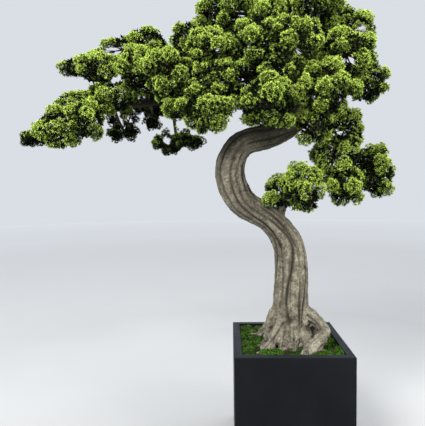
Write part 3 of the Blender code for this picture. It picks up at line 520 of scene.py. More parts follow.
class BarkSettings(PropertyGroup):
    grain: length("Grain", "Size of the smallest form in the trunk's mesh", 0.0034)
    flute_depth: length("Flute depth", "Depth of the furrows that run along the trunk", 0.0095)
    ridge: colour("Ridge", "Colour of the trunk's ridges", (0.215, 0.200, 0.145))
    furrow: colour("Furrow", "Colour in the trunk's furrows", (0.026, 0.020, 0.013))
    foot: colour("Foot", "Colour of the roots' bare wood", (0.330, 0.312, 0.245))
    # crown: the crown's shade painted on the trunk's upper length, along with darker bark there
    crown: colour("Crown", "Colour of the trunk inside the crown", (0.017, 0.017, 0.008))
    bough: colour("Bough", "Colour of the boughs", (0.055, 0.043, 0.029))
    bough_furrow: colour("Bough furrow", "Colour in the boughs' furrows", (0.012, 0.009, 0.006))
    twig: colour("Twig", "Colour of the twigs", (0.009, 0.007, 0.005))


# The needles' six colours are one green in steps from painted sunlight to painted shade: the lightest is the
# newest growth in painted sunlight, and the darker ones are painted shade on the sides, below and inside a
# mass. Each spray is dealt one by how light it is, with some tone that differs at random.
class NeedleSettings(PropertyGroup):
    spacing: length("Spacing", "Distance between two sprays", 0.0138)
    needle: length("Needle", "Length of a needle", 0.0102)
    width: length("Width", "Width of a needle", 0.0029)
    needles: IntProperty(name="Needles", description="Needles of a spray", default=15, min=3)
    newest: colour("Sunlit newest", "Colour of the lightest needles", (0.450, 0.590, 0.100))
    bright: colour("Bright", "Colour of the needles in the light", (0.270, 0.385, 0.055))
    green: colour("Green", "Colour of the middle needles", (0.140, 0.215, 0.034))
    deep: colour("Deep", "Colour of the needles on the sides", (0.060, 0.100, 0.019))
    shade: colour("Shade", "Colour of the needles below", (0.014, 0.022, 0.006))
    darkest: colour("Darkest", "Colour of the needles inside", (0.0015, 0.0022, 0.001))


class StageSettings(PropertyGroup):
    floor: colour("Floor", "Colour of the floor", (0.37, 0.375, 0.38))
    edge: colour("Edge", "Colour of the floor towards its edge", (0.98, 0.985, 0.99))
    air: colour("Air", "Colour of the light all round", (0.70, 0.735, 0.785))
    key: power("Key light", "Power of the main light", 390)
    fill: power("Fill light", "Power of the light from the right", 180)
    top: power("Top light", "Power of the light from above", 170)


# Meshes


def add_object(name, data):
    made = bpy.data.objects.new(name, data)
    bpy.context.scene.collection.objects.link(made)
    return made


def mesh_object(name, points, faces, materials=(), tones=None, smooth=False):
    """An object of joined faces, all with as many corners, given as arrays."""
    points, faces = np.asarray(points, np.float32), np.asarray(faces, np.int32)
    mesh = bpy.data.meshes.new(name)
    mesh.vertices.add(len(points))
    mesh.vertices.foreach_set("co", points.ravel())
    mesh.loops.add(faces.size)
    mesh.loops.foreach_set("vertex_index", faces.ravel())
    mesh.polygons.add(len(faces))
    mesh.polygons.foreach_set("loop_start", np.arange(0, faces.size, faces.shape[1], dtype=np.int32))
    mesh.polygons.foreach_set("use_smooth", np.full(len(faces), smooth))
    if tones is not None:
        mesh.polygons.foreach_set("material_index", np.asarray(tones, np.int32))
    mesh.update(calc_edges=True)
    for material in materials:
        mesh.materials.append(material)
    return add_object(name, mesh)


def smooth_faces(mesh):
    mesh.polygons.foreach_set("use_smooth", np.full(len(mesh.polygons), True))


def vertex_values(mesh, name):
    """Rows of what a mesh's vertices hold by that name, such as their places."""
    values = np.empty(3 * len(mesh.vertices), np.float32)
    mesh.vertices.foreach_get(name, values)
    return values.reshape(-1, 3).astype(float)


def store(mesh, name, values):
    """Stores a number or three for each vertex."""
    kind, key = ("FLOAT", "value") if values.ndim == 1 else ("FLOAT_VECTOR", "vector")
    mesh.attributes.new(name, kind, "POINT").data.foreach_set(key, values.astype(np.float32).ravel())


def evaluate(piece):
    """Replaces a piece's mesh by the plain mesh that its modifiers give."""
    graph = bpy.context.evaluated_depsgraph_get()
    result = bpy.data.meshes.new_from_object(piece.evaluated_get(graph), depsgraph=graph)
    before = piece.data
    piece.modifiers.clear()
    piece.data = result
    result.name = piece.name
    bpy.data.meshes.remove(before)


def seat(piece, nodes=()):
    """Puts a finished piece on the tree's one body, in place of its solids."""
    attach(piece, "root")
    if nodes:
        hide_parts(*nodes)


def unit(rows):
    return rows / np.linalg.norm(rows, axis=-1, keepdims=True)


def smooth_route(stations, steps):
    """Rows of a curve that runs smoothly through the stations, with the given steps between two."""
    rows = np.array(stations, float)
    rows = np.vstack([2 * rows[0] - rows[1], rows, 2 * rows[-1] - rows[-2]])
    curve = []
    for a, b, c, d in zip(rows, rows[1:], rows[2:], rows[3:]):
        for step in range(steps):
            t = step / steps
            curve.append(0.5 * (2 * b + (c - a) * t + (2 * a - 5 * b + 4 * c - d) * t ** 2
                                + (3 * b - a - 3 * c + d) * t ** 3))
    curve.append(rows[-2])
    return np.array(curve)


Line = namedtuple("Line", "middle ahead across beside run radius")


def line_of(rows):
    """The middle line of a limb with a frame that doesn't turn about it, the run so far and the radius."""
    middle = np.array(rows)[:, :3]
    steps = unit(np.diff(middle, axis=0))
    ahead = unit(np.vstack([steps[:1], steps[:-1] + steps[1:], steps[-1:]]))
    across = np.zeros_like(ahead)
    last = np.array((0, -1, 0) if abs(ahead[0, 1]) < 0.8 else (1, 0, 0), float)
    for at, way in enumerate(ahead):
        last = unit(last - way * (last @ way))
        across[at] = last
    run = np.concatenate([[0], np.cumsum(np.linalg.norm(np.diff(middle, axis=0), axis=1))])
    return Line(middle, ahead, across, np.cross(ahead, across), run, np.array(rows)[:, 3])


def tube(line, sides):
    """Points and triangles of the closed limb round a line."""
    angle = 2 * np.pi * np.arange(sides) / sides
    around = (np.cos(angle)[None, :, None] * line.across[:, None]
              + np.sin(angle)[None, :, None] * line.beside[:, None])
    points = line.middle[:, None] + line.radius[:, None, None] * around
    rings = len(line.middle)
    ring, side = np.meshgrid(np.arange(rings - 1), np.arange(sides), indexing="ij")
    a, b = ring * sides + side, ring * sides + (side + 1) % sides
    faces = np.concatenate([np.stack([a, b, b + sides], -1), np.stack([a, b + sides, a + sides], -1)])
    points = np.vstack([points.reshape(-1, 3), line.middle[:1], line.middle[-1:]])
    here = np.arange(sides)
    after, ends = (here + 1) % sides, np.full(sides, rings * sides)
    top = (rings - 1) * sides
    low, high = np.stack([after, here, ends], -1), np.stack([top + here, top + after, ends + 1], -1)
    return points, np.vstack([faces.reshape(-1, 3), low, high])


def joined(parts):
    """Points and faces of several meshes as one."""
    points, faces, before = [], [], 0
    for some_points, some_faces in parts:
        points.append(some_points)
        faces.append(np.asarray(some_faces) + before)
        before += len(some_points)
    return np.vstack(points), np.vstack(faces)


# Finishes


def feed(tree, target, value):
    """Feeds an input from another node's socket, or gives it a plain value or colour."""
    if isinstance(value, bpy.types.NodeSocket):
        tree.links.new(value, target)
    else:
        target.default_value = (*value, 1.0) if target.type == "RGBA" else value


def add_node(tree, kind, feeds=None, **settings):
    """A node with its settings, and its inputs fed by name or number."""
    made = tree.nodes.new(kind)
    for name, value in settings.items():
        setattr(made, name, value)
    for key, value in (feeds or {}).items():
        feed(tree, made.inputs[key], value)
    return made


def ramp(tree, factor, *stops):
    """A colour or grey ramp over a factor: pairs of place and colour."""
    made = add_node(tree, "ShaderNodeValToRGB", {"Fac": factor})
    elements = made.color_ramp.elements
    while len(elements) < len(stops):
        elements.new(0.5)
    for element, (place, tint) in zip(elements, stops):
        element.position = place
        element.color = (*tint, 1.0) if hasattr(tint, "__len__") else (tint, tint, tint, 1.0)
    return made.outputs["Color"]


def noise_of(tree, vector, scale, detail=4.0, roughness=0.6):
    feeds = {"Vector": vector, "Scale": scale, "Detail": detail, "Roughness": roughness}
    return add_node(tree, "ShaderNodeTexNoise", feeds).outputs["Fac"]


def mix(tree, factor, low, high):
    """One colour mixed into another: each a socket or a plain colour."""
    feeds = dict(zip(MIX_INPUTS, (factor, low, high)))
    return add_node(tree, "ShaderNodeMix", feeds, data_type="RGBA").outputs[MIX_OUTPUT]


def calculate(tree, operation, first, second, clamp=False):
    return add_node(tree, "ShaderNodeMath", {0: first, 1: second}, operation=operation,
                    use_clamp=clamp).outputs[0]


def new_group(name, inputs, outputs, kind="ShaderNodeTree"):
    """An empty node group with its named sockets, and what its input and output nodes hold."""
    group = bpy.data.node_groups.new(name, kind)
    for label, socket_kind, default in inputs:
        socket = group.interface.new_socket(label, in_out="INPUT", socket_type="NodeSocket" + socket_kind)
        if default is not None:
            socket.default_value = default
    for label, socket_kind in outputs:
        group.interface.new_socket(label, in_out="OUTPUT", socket_type="NodeSocket" + socket_kind)
    return group, group.nodes.new("NodeGroupInput").outputs, group.nodes.new("NodeGroupOutput").inputs


def speckle_group():
    """Two colours in patches and specks, with a height for the specks."""
    known = bpy.data.node_groups.get("Speckle")
    if known:
        return known
    group, given, result = new_group(
        "Speckle",
        [("Vector", "Vector", None), ("Main", "Color", (0.5, 0.5, 0.5, 1)),
         ("Other", "Color", (0.2, 0.2, 0.2, 1)), ("Patches", "Float", 12.0), ("Specks", "Float", 300.0)],
        [("Color", "Color"), ("Height", "Float")])
    patches, specks = (noise_of(group, given["Vector"], given[name], roughness=0.5)
                       for name in ("Patches", "Specks"))
    broad = calculate(group, "MULTIPLY", ramp(group, patches, (0.38, 0.0), (0.68, 1.0)), 0.6)
    fine = calculate(group, "MULTIPLY", ramp(group, specks, (0.42, 0.0), (0.66, 1.0)), 0.4)
    both = calculate(group, "ADD", broad, fine, clamp=True)
    feed(group, result["Color"], mix(group, both, given["Main"], given["Other"]))
    feed(group, result["Height"], specks)
    return group


def bark_group():
    """Bark: dark furrows between pale ridges, with streaks along the limb, stains and pits."""
    known = bpy.data.node_groups.get("Bark")
    if known:
        return known
    group, given, result = new_group(
        "Bark",
        [("Vector", "Vector", None), ("Grain", "Vector", None), ("Furrow", "Float", 0.0),
         ("Ridge Color", "Color", (0.3, 0.25, 0.2, 1)), ("Furrow Color", "Color", (0.05, 0.04, 0.03, 1))],
        [("Color", "Color"), ("Roughness", "Float"), ("Height", "Float")])
    streaks = noise_of(group, given["Grain"], 260.0, 5.0, 0.62)
    broad_streaks = noise_of(group, given["Grain"], 70.0, 3.0)
    stains = noise_of(group, given["Vector"], 21.0, 5.0, 0.65)
    pits = noise_of(group, given["Vector"], 150.0, 3.0)
    mottle = noise_of(group, given["Vector"], 115.0, 4.0, 0.7)
    uneven = calculate(group, "MULTIPLY", calculate(group, "SUBTRACT", broad_streaks, 0.5), 0.9)
    depth = calculate(group, "ADD", given["Furrow"], uneven)
    ridge, furrow = given["Ridge Color"], given["Furrow Color"]
    base = mix(group, ramp(group, depth, (0.10, 0.0), (0.78, 1.0)), ridge, furrow)
    pale = mix(group, ramp(group, streaks, (0.44, 0.0), (0.70, 0.55)), base, PALE_WOOD)
    tint = mix(group, ramp(group, depth, (0.05, 1.0), (0.45, 0.0)), base, pale)
    for marks, stops in ((stains, ((0.40, 0.55), (0.62, 0.0))), (pits, ((0.30, 0.75), (0.41, 0.0))),
                         (mottle, ((0.40, 0.62), (0.58, 0.0)))):
        tint = mix(group, ramp(group, marks, *stops), tint, furrow)
    feed(group, result["Color"], tint)
    feed(group, result["Roughness"], ramp(group, stains, (0.3, 0.72), (0.7, 0.95)))
    pitted = calculate(group, "MULTIPLY", ramp(group, pits, (0.28, 0.0), (0.46, 1.0)), 0.5)
    height = calculate(group, "ADD", calculate(group, "MULTIPLY", streaks, 0.6), pitted)
    feed(group, result["Height"], height)
    return group


def new_material(name, specular, roughness=0.8):
    """A material with its own Principled shader: the material, its nodes and the shader's inputs."""
    material = bpy.data.materials.new(name)
    material.use_nodes = True
    surface = material.node_tree.nodes["Principled BSDF"].inputs
    surface["Roughness"].default_value = roughness
    surface["Specular IOR Level"].default_value = specular
    return material, material.node_tree, surface


def add_bump(tree, surface, height, distance, strength):
    feeds = {"Height": height, "Distance": distance, "Strength": strength}
    feed(tree, surface["Normal"], add_node(tree, "ShaderNodeBump", feeds).outputs["Normal"])


def object_place(tree):
    return add_node(tree, "ShaderNodeTexCoord").outputs["Object"]


def upward(tree, vector):
    return add_node(tree, "ShaderNodeSeparateXYZ", {0: vector}).outputs["Z"]


def attribute(tree, name, output):
    return add_node(tree, "ShaderNodeAttribute", attribute_name=name).outputs[output]


def speckled(tree, main, other, patches, specks):
    """What the speckle group gives for two colours and for the scales of its patches and specks."""
    feeds = {"Vector": object_place(tree), "Main": main, "Other": other, "Patches": patches, "Specks": specks}
    return add_node(tree, "ShaderNodeGroup", feeds, node_tree=speckle_group()).outputs


def planter_material(settings):
    """Matt black coat with a fine grain of dust specks and rubbed patches, paler on the faces that look up.
    """
    material, tree, surface = new_material("planter_coat", 0.10)
    coat = speckled(tree, settings.coat, settings.dust, 7.0, 900.0)
    rubbed = mix(tree, 0.22, settings.coat, coat["Color"])
    # Faces that look up are mixed towards the paler dust colour, lighter on top
    facing = upward(tree, add_node(tree, "ShaderNodeNewGeometry").outputs["Normal"])
    dusty = mix(tree, ramp(tree, facing, (0.55, 0.0), (0.95, 0.8)), rubbed, settings.dust)
    wear = noise_of(tree, object_place(tree), 16.0, 5.0)
    feed(tree, surface["Base Color"], dusty)
    feed(tree, surface["Roughness"], ramp(tree, wear, (0.3, 0.42), (0.7, 0.60)))
    add_bump(tree, surface, coat["Height"], 0.0006, 0.25)
    return material


def soil_material(settings):
    """Dark crumbly soil."""
    material, tree, surface = new_material("soil_crumbs", 0.2, 0.95)
    paler = tuple(2.4 * part for part in settings.soil)
    crumbs = speckled(tree, settings.soil, paler, 60.0, 320.0)
    feed(tree, surface["Base Color"], crumbs["Color"])
    add_bump(tree, surface, crumbs["Height"], 0.003, 0.8)
    return material


def moss_material(settings):
    """Moss cushions that fall to dark soil between them."""
    material, tree, surface = new_material("moss_cushion", 0.15, 0.95)
    leaves = speckled(tree, settings.moss, settings.young_moss, 45.0, 420.0)
    covered = ramp(tree, attribute(tree, "cushion", "Fac"), (0.25, 0.0), (0.60, 1.0))
    feed(tree, surface["Base Color"], mix(tree, covered, settings.soil, leaves["Color"]))
    add_bump(tree, surface, leaves["Height"], 0.003, 0.9)
    return material


def leaf_material(name, tint, specular, roughness):
    """One plain colour of moss leaf or needle."""
    material, tree, surface = new_material(name, specular, roughness)
    feed(tree, surface["Base Color"], tint)
    return material


def bark_material(name, ridge, furrow, bump, shine, foot=None, crown=None):
    """Bark, on a trunk with pale blotches at the foot and a darker length in the crown, where the crown's
    shade is painted on along with darker bark.
    """
    material, tree, surface = new_material(name, shine)
    place = object_place(tree)
    feeds = {"Vector": place, "Grain": attribute(tree, "grain", "Vector"),
             "Furrow": attribute(tree, "furrow", "Fac"), "Ridge Color": ridge, "Furrow Color": furrow}
    bark = add_node(tree, "ShaderNodeGroup", feeds, node_tree=bark_group()).outputs
    tint = bark["Color"]
    if foot:
        height = calculate(tree, "DIVIDE", upward(tree, place), BARK_HEIGHT)
        blotches = ramp(tree, noise_of(tree, place, 34.0), (0.36, 0.0), (0.62, 1.0))
        low = calculate(tree, "MULTIPLY", ramp(tree, height, (0.21, 0.5), (0.28, 0.0)), blotches)
        # The crown's shade painted on the trunk above about 1.2 m, with darker bark there
        high = ramp(tree, height, (0.60, 0.0), (0.665, 0.82))
        tint = mix(tree, high, mix(tree, low, tint, foot), crown)
    feed(tree, surface["Base Color"], tint)
    feed(tree, surface["Roughness"], bark["Roughness"])
    add_bump(tree, surface, bark["Height"], bump, 0.8)
    return material


def floor_material(settings):
    """A plain floor, a little cloudy, that gets paler towards its edge."""
    material, tree, surface = new_material("studio_floor", 0.2, 0.9)
    place = object_place(tree)
    darker = tuple(0.97 * part for part in settings.floor)
    cloudy = ramp(tree, noise_of(tree, place, 1.5, 2.0), (0.3, darker), (0.7, settings.floor))
    away = add_node(tree, "ShaderNodeVectorMath", {0: place}, operation="LENGTH").outputs["Value"]
    share = calculate(tree, "DIVIDE", away, FLOOR_RADIUS)
    far = ramp(tree, share, (0.15, 0.0), (0.6, 0.7), (1.0, 1.0))
    feed(tree, surface["Base Color"], mix(tree, far, cloudy, settings.edge))
    return material


# Planter and ground


def build_planter(settings):
    """An open square box with thick walls and rounded edges."""
    half, inner = PLANTER_SIDE / 2, PLANTER_SIDE / 2 - RIM_WIDTH
    corners = ((-1, -1), (1, -1), (1, 1), (-1, 1))
    levels = ((half, 0.0), (half, PLANTER_HEIGHT), (inner, PLANTER_HEIGHT), (inner, PLANTER_FLOOR))
    shape = bmesh.new()
    rings = [[shape.verts.new((x * side, y * side, height)) for x, y in corners] for side, height in levels]
    shape.faces.new(reversed(rings[0]))
    shape.faces.new(rings[-1])
    for low, high in zip(rings, rings[1:]):
        for corner in range(4):
            after = (corner + 1) % 4
            shape.faces.new((low[corner], low[after], high[after], high[corner]))
    shape.normal_update()
    rounded = ((rings[0] + rings[1], settings.edge, 4), (rings[2], settings.inner_edge, 3))
    for ends, radius, segments in rounded:
        edges = [edge for edge in shape.edges if all(end in ends for end in edge.verts)]
        bmesh.ops.bevel(shape, geom=edges, offset=radius, segments=segments, profile=0.5, affect="EDGES",
                        clamp_overlap=True)
    mesh = bpy.data.meshes.new("planter_box")
    shape.to_mesh(mesh)
    shape.free()
    mesh.materials.append(planter_material(settings))
    smooth_faces(mesh)
    mesh.set_sharp_from_angle(angle=math.radians(35))
    return add_object("planter_box", mesh)


def moss_cushions():
    """Seeded round cushions: rows of x, y, radius and height."""
    rng = random.Random(MOSS_SEED)
    cushions = []
    across = math.ceil(2 * GROUND_HALF / MOSS_SPACING)
    for i in range(across + 1):
        for j in range(across + 1):
            x, y = (-GROUND_HALF + step * MOSS_SPACING + rng.uniform(-MOSS_STRAY, MOSS_STRAY) * MOSS_SPACING
                    for step in (i, j))
            radius = MOSS_SPACING * rng.uniform(*MOSS_RADII)
            cushions.append((x, y, radius, MOSS_RISE * rng.uniform(*MOSS_RISES)))
    return np.array(cushions)


def slab(name, cells, height_at, bottom, material):
    """A closed slab with a flat bottom whose top follows a height function."""
    line = np.linspace(-GROUND_HALF, GROUND_HALF, cells + 1)
    x, y = np.meshgrid(line, line, indexing="ij")
    top = np.stack([x.ravel(), y.ravel(), height_at(x.ravel(), y.ravel())], -1)
    number = np.arange((cells + 1) ** 2).reshape(cells + 1, cells + 1)
    quads = np.stack([number[:-1, :-1], number[1:, :-1], number[1:, 1:], number[:-1, 1:]], -1).reshape(-1, 4)
    rim = np.concatenate([number[:-1, 0], number[-1, :-1], number[:0:-1, -1], number[0, :0:-1]])
    foot = top[rim].copy()
    foot[:, 2] = bottom
    here = np.arange(len(rim))
    after = np.roll(here, -1)
    first = len(top)
    skirt = np.stack([first + here, first + after, rim[after], rim[here]], -1)
    points = np.vstack([top, foot, [(0, 0, bottom)]])
    made = mesh_object(name, points, np.vstack([quads, skirt]), [material], smooth=True)
    shape = bmesh.new()
    shape.from_mesh(made.data)
    shape.verts.ensure_lookup_table()
    corners = shape.verts[first:]
    for side in here:
        shape.faces.new((corners[after[side]], corners[side], corners[-1]))
    shape.to_mesh(made.data)
    shape.free()
    return made


def ripple(x, y, scale, seed):
    """Smooth noise over the ground, between about -1 and 1."""
    return np.array([noise.noise(Vector((a * scale, b * scale, seed))) for a, b in zip(x, y)])


def build_soil(settings):
    """The soil that fills the planter up to the ground."""
    def height_at(x, y):
        return GROUND - SOIL_RIPPLE + SOIL_RIPPLE * ripple(x, y, 60, 2.0)

    return slab("soil_bed", settings.cells // 2, height_at, PLANTER_FLOOR + GAP, soil_material(settings))


def build_moss(settings):
    """Moss cushions over the soil, with how high each point stands as an attribute."""
    cushions = moss_cushions()

    def rise_at(x, y):
        apart = (x[:, None] - cushions[:, 0]) ** 2 + (y[:, None] - cushions[:, 1]) ** 2
        return (cushions[:, 3] * np.sqrt(np.maximum(1 - apart / cushions[:, 2] ** 2, 0))).max(1)

    def height_at(x, y):
        lumps = sum(high * ripple(x, y, scale, seed) for scale, seed, high in MOSS_LUMPS)
        rise = rise_at(x, y)
        return GROUND + MOSS_LOWEST + rise * MOSS_SWELL + np.where(rise > 0.001, lumps, 0.2 * lumps)

    moss = slab("moss_bed", settings.cells, height_at, GROUND + GAP, moss_material(settings))
    x, y, _ = vertex_values(moss.data, "co").T
    store(moss.data, "cushion", rise_at(x, y) / MOSS_RISE)
    return moss


def tuft_mesh(leaves, seed):
    """A tiny tuft of moss: leaves that lean out of one point, a metre long before it is sized."""
    rng = np.random.default_rng(seed)
    turn = 2 * np.pi * (np.arange(leaves) + rng.uniform(-0.3, 0.3, leaves)) / leaves
    lean = rng.uniform(*MOSS_LEAF_LEAN, leaves)
    way = np.stack([np.sin(lean) * np.cos(turn), np.sin(lean) * np.sin(turn), np.cos(lean)], -1)
    side = np.stack([-np.sin(turn), np.cos(turn), np.zeros(leaves)], -1) * MOSS_LEAF_WIDTH
    tips = way * rng.uniform(*MOSS_LEAF_LENGTH, leaves)[:, None]
    middle = MOSS_LEAF_WIDEST * tips
    points = np.stack([np.zeros_like(tips), middle + side, tips, middle - side], 1).reshape(-1, 3)
    first = 4 * np.arange(leaves)[:, None]
    return points, np.vstack([first + (0, 1, 2), first + (0, 2, 3)])


def random_value(tree, kind, low, high, seed):
    """A seeded random number, kind VALUE, or three of them, kind VECTOR, for each point."""
    made = add_node(tree, "FunctionNodeRandomValue", {"Seed": seed},
                    data_type="FLOAT" if kind == "VALUE" else "FLOAT_VECTOR")
    for socket, value in zip([socket for socket in made.inputs if socket.type == kind], (low, high)):
        socket.default_value = value
    return next(socket for socket in made.outputs if socket.type == kind)


def scatter_tree():
    """Geometry Nodes that stand copies of a small mesh on the faces of a piece where its cushions are
    high enough, each turned and sized at random, and make them one mesh."""
    known = bpy.data.node_groups.get("Scatter on cushions")
    if known:
        return known
    tree, given, result = new_group(
        "Scatter on cushions",
        [("Geometry", "Geometry", None), ("Tuft", "Object", None), ("Density", "Float", 1000.0),
         ("Least Height", "Float", 0.3), ("Size", "Float", 0.006), ("Seed", "Int", 0),
         ("Material", "Material", None)],
        [("Geometry", "Geometry")], "GeometryNodeTree")
    height = add_node(tree, "GeometryNodeInputNamedAttribute", {"Name": "cushion"}, data_type="FLOAT")
    height = next(socket for socket in height.outputs if socket.enabled)
    high = add_node(tree, "FunctionNodeCompare", {0: height, 1: given["Least Height"]}, data_type="FLOAT",
                    operation="GREATER_THAN")
    spread = add_node(tree, "GeometryNodeDistributePointsOnFaces",
                      {"Mesh": given["Geometry"], "Selection": high.outputs["Result"],
                       "Density": given["Density"], "Seed": given["Seed"]}, distribute_method="RANDOM")
    turn = random_value(tree, "VECTOR", (-MOSS_TUFT_LEAN, -MOSS_TUFT_LEAN, 0.0),
                        (MOSS_TUFT_LEAN, MOSS_TUFT_LEAN, 2 * math.pi), given["Seed"])
    turned = add_node(tree, "FunctionNodeRotateEuler", {0: spread.outputs["Rotation"], "Rotate By": turn},
                      space="LOCAL")
    size = random_value(tree, "VALUE", *MOSS_TUFT_SIZES, given["Seed"])
    tuft = add_node(tree, "GeometryNodeObjectInfo", {"Object": given["Tuft"]})
    scale = calculate(tree, "MULTIPLY", size, given["Size"])
    stand = add_node(tree, "GeometryNodeInstanceOnPoints",
                     {"Points": spread.outputs["Points"], "Instance": tuft.outputs["Geometry"],
                      "Rotation": turned.outputs[0], "Scale": scale})
    whole = add_node(tree, "GeometryNodeRealizeInstances", {"Geometry": stand.outputs["Instances"]})
    painted = add_node(tree, "GeometryNodeSetMaterial",
                       {"Geometry": whole.outputs["Geometry"], "Material": given["Material"]})
    feed(tree, result["Geometry"], painted.outputs["Geometry"])
    return tree


def build_tufts(name, moss, material, settings, seed, share, size, least):
    """A piece of moss tufts in one colour, standing on the cushions."""
    tuft = mesh_object("tuft", *tuft_mesh(MOSS_LEAVES, seed))
    piece = add_object(name, moss.data.copy())
    scatter = piece.modifiers.new("scatter", "NODES")
    scatter.node_group = scatter_tree()
    values = {"Tuft": tuft, "Density": share * settings.density, "Least Height": least,
              "Size": size, "Seed": seed, "Material": material}
    for item in scatter.node_group.interface.items_tree:
        if item.in_out == "INPUT" and item.name in values:
            scatter[item.identifier] = values[item.name]
    evaluate(piece)
    leaves = tuft.data
    bpy.data.objects.remove(tuft)
    bpy.data.meshes.remove(leaves)
    return piece


# Bark


def bough_rows(bough, steps=BOUGH_STEPS):
    """Rows of a bough's middle line with its even taper."""
    middle = smooth_route(bough.route, steps)
    runs = np.linalg.norm(np.diff(middle, axis=0), axis=1)
    along = np.concatenate([[0], np.cumsum(runs)]) / runs.sum()
    return np.column_stack([middle, bough.root + (bough.tip - bough.root) * along])


def furrows(kind, number, angle, run, radius, breadth=1.0):
    """Depth, from 0 to 1, of the seeded furrows of a numbered limb. They sway, and deepen and fade."""
    rng = np.random.default_rng(kind.seed + number)
    count = kind.on_others if number else kind.on_first
    deepest = np.zeros(len(angle))
    for furrow in range(count):
        first = 2 * np.pi * (furrow + rng.uniform(-FURROW_STRAY, FURROW_STRAY)) / count
        sway = kind.sway * np.sin(2 * np.pi * (run / rng.uniform(*SWAY_LENGTHS) + rng.uniform()))
        strength = 1 - FADE + FADE * np.sin(2 * np.pi * (run / rng.uniform(*FADE_LENGTHS) + rng.uniform()))
        away = (angle - first - FURROW_TWIST * run - sway + np.pi) % (2 * np.pi) - np.pi
        share = np.abs(away) * radius / (kind.width * breadth * rng.uniform(*FURROW_WIDTHS))
        deepest = np.maximum(deepest, strength * np.exp(-share ** FURROW_STEEPNESS))
    return deepest


def distances(points, lines):
    """How far each point lies from each limb's surface, and the nearest row of that limb's line."""
    off, where = np.zeros((len(lines), len(points))), np.zeros((len(lines), len(points)), int)
    for number, line in enumerate(lines):
        for part in np.array_split(np.arange(len(points)), 20):
            apart = np.linalg.norm(points[part, None] - line.middle[None], axis=2) - line.radius
            where[number, part] = apart.argmin(1)
            off[number, part] = apart.min(1)
    return off, where


def blend_joins(piece, lines):
    """Fills the creases where limbs meet, so that roots grow out of the trunk's foot in one flow."""
    points = vertex_values(piece.data, "co")
    off = np.sort(distances(points, lines)[0], axis=0)
    weight = np.clip(JOIN_REACH - (off[1] - off[0]) / JOIN_WIDTH, 0, 1)[:, None]
    edges = np.empty(2 * len(piece.data.edges), np.int32)
    piece.data.edges.foreach_get("vertices", edges)
    ends, others = edges.reshape(-1, 2).T.ravel(), edges.reshape(-1, 2)[:, ::-1].T.ravel()
    count = np.bincount(ends, minlength=len(points))[:, None]
    for _ in range(JOIN_STEPS):
        mean = np.column_stack([np.bincount(ends, points[others, axis], len(points)) for axis in range(3)])
        points += JOIN_PULL * weight * (mean / np.maximum(count, 1) - points)
    piece.data.vertices.foreach_set("co", points.astype(np.float32).ravel())
    piece.data.update()


def carve_bark(piece, lines, depth, lumps):
    """Carves furrows, ridges and lumps into a limb's mesh, and stores how deep each point lies and
    its place along the grain."""
    mesh = piece.data
    points, normals = vertex_values(mesh, "co"), vertex_values(mesh, "normal")
    off, where = distances(points, lines)
    owner = off.argmin(0)
    furrow, offset, grain = np.zeros(len(points)), np.zeros(len(points)), np.zeros((len(points), 3))
    for number, line in enumerate(lines):
        mine = np.flatnonzero(owner == number)
        if not len(mine):
            continue
        at = where[number, mine]
        away = points[mine] - line.middle[at]
        run = line.run[at] + (away * line.ahead[at]).sum(1)
        angle = np.arctan2((away * line.beside[at]).sum(1), (away * line.across[at]).sum(1))
        radius = line.radius[at]
        thick = np.clip(radius / THICK_LIMB, 0.25, 1.2)
        main = furrows(MAIN_FURROWS, number, angle, run, radius, thick.mean() ** 0.5)
        fine = furrows(FINE_FURROWS, number, angle, run, radius)
        furrow[mine] = np.clip(main + FINE_DARKNESS * fine, 0, 1)
        offset[mine] = thick * (depth * (RIDGE_HEIGHT - main) - FINE_DEPTH * depth * fine)
        grain[mine] = np.column_stack([np.cos(angle) * radius, np.sin(angle) * radius,
                                       GRAIN_STRETCH * run + number])
    low = np.clip((KNOBS_TOP - points[:, 2]) / KNOBS_FADE, 0, 1)
    bumps = np.array([sum(high * noise.noise(Vector(point) * scale) for scale, high in LUMPS)
                      for point in points])
    offset += lumps * bumps * (1 + KNOBS * low)
    # Painted shade in the hollows between lumps, strongest at the foot; the furrows' darkness is partly the
    # bark's own colour and partly painted shade
    hollow = np.clip(-bumps - HOLLOW_FROM + FOOT_HOLLOW_FROM * low, 0, 1)
    furrow = np.clip(furrow + (HOLLOW_DARKNESS + FOOT_HOLLOW_DARKNESS * low) * hollow, 0, 1)
    moved = (points + normals * offset[:, None]).astype(np.float32)
    mesh.vertices.foreach_set("co", moved.ravel())
    store(mesh, "furrow", furrow)
    store(mesh, "grain", grain)
    mesh.update()


def cut_at_ground(piece):
    """Cuts a piece off flat at the ground and closes it there."""
    shape = bmesh.new()
    shape.from_mesh(piece.data)
    everything = shape.verts[:] + shape.edges[:] + shape.faces[:]
    cut = bmesh.ops.bisect_plane(shape, geom=everything, plane_co=(0, 0, GROUND + GAP), plane_no=(0, 0, 1),
                                 clear_inner=True)
    edges = [item for item in cut["geom_cut"] if isinstance(item, bmesh.types.BMEdge)]
    bmesh.ops.triangle_fill(shape, use_beauty=False, edges=edges, normal=(0, 0, -1))
    shape.to_mesh(piece.data)
    shape.free()


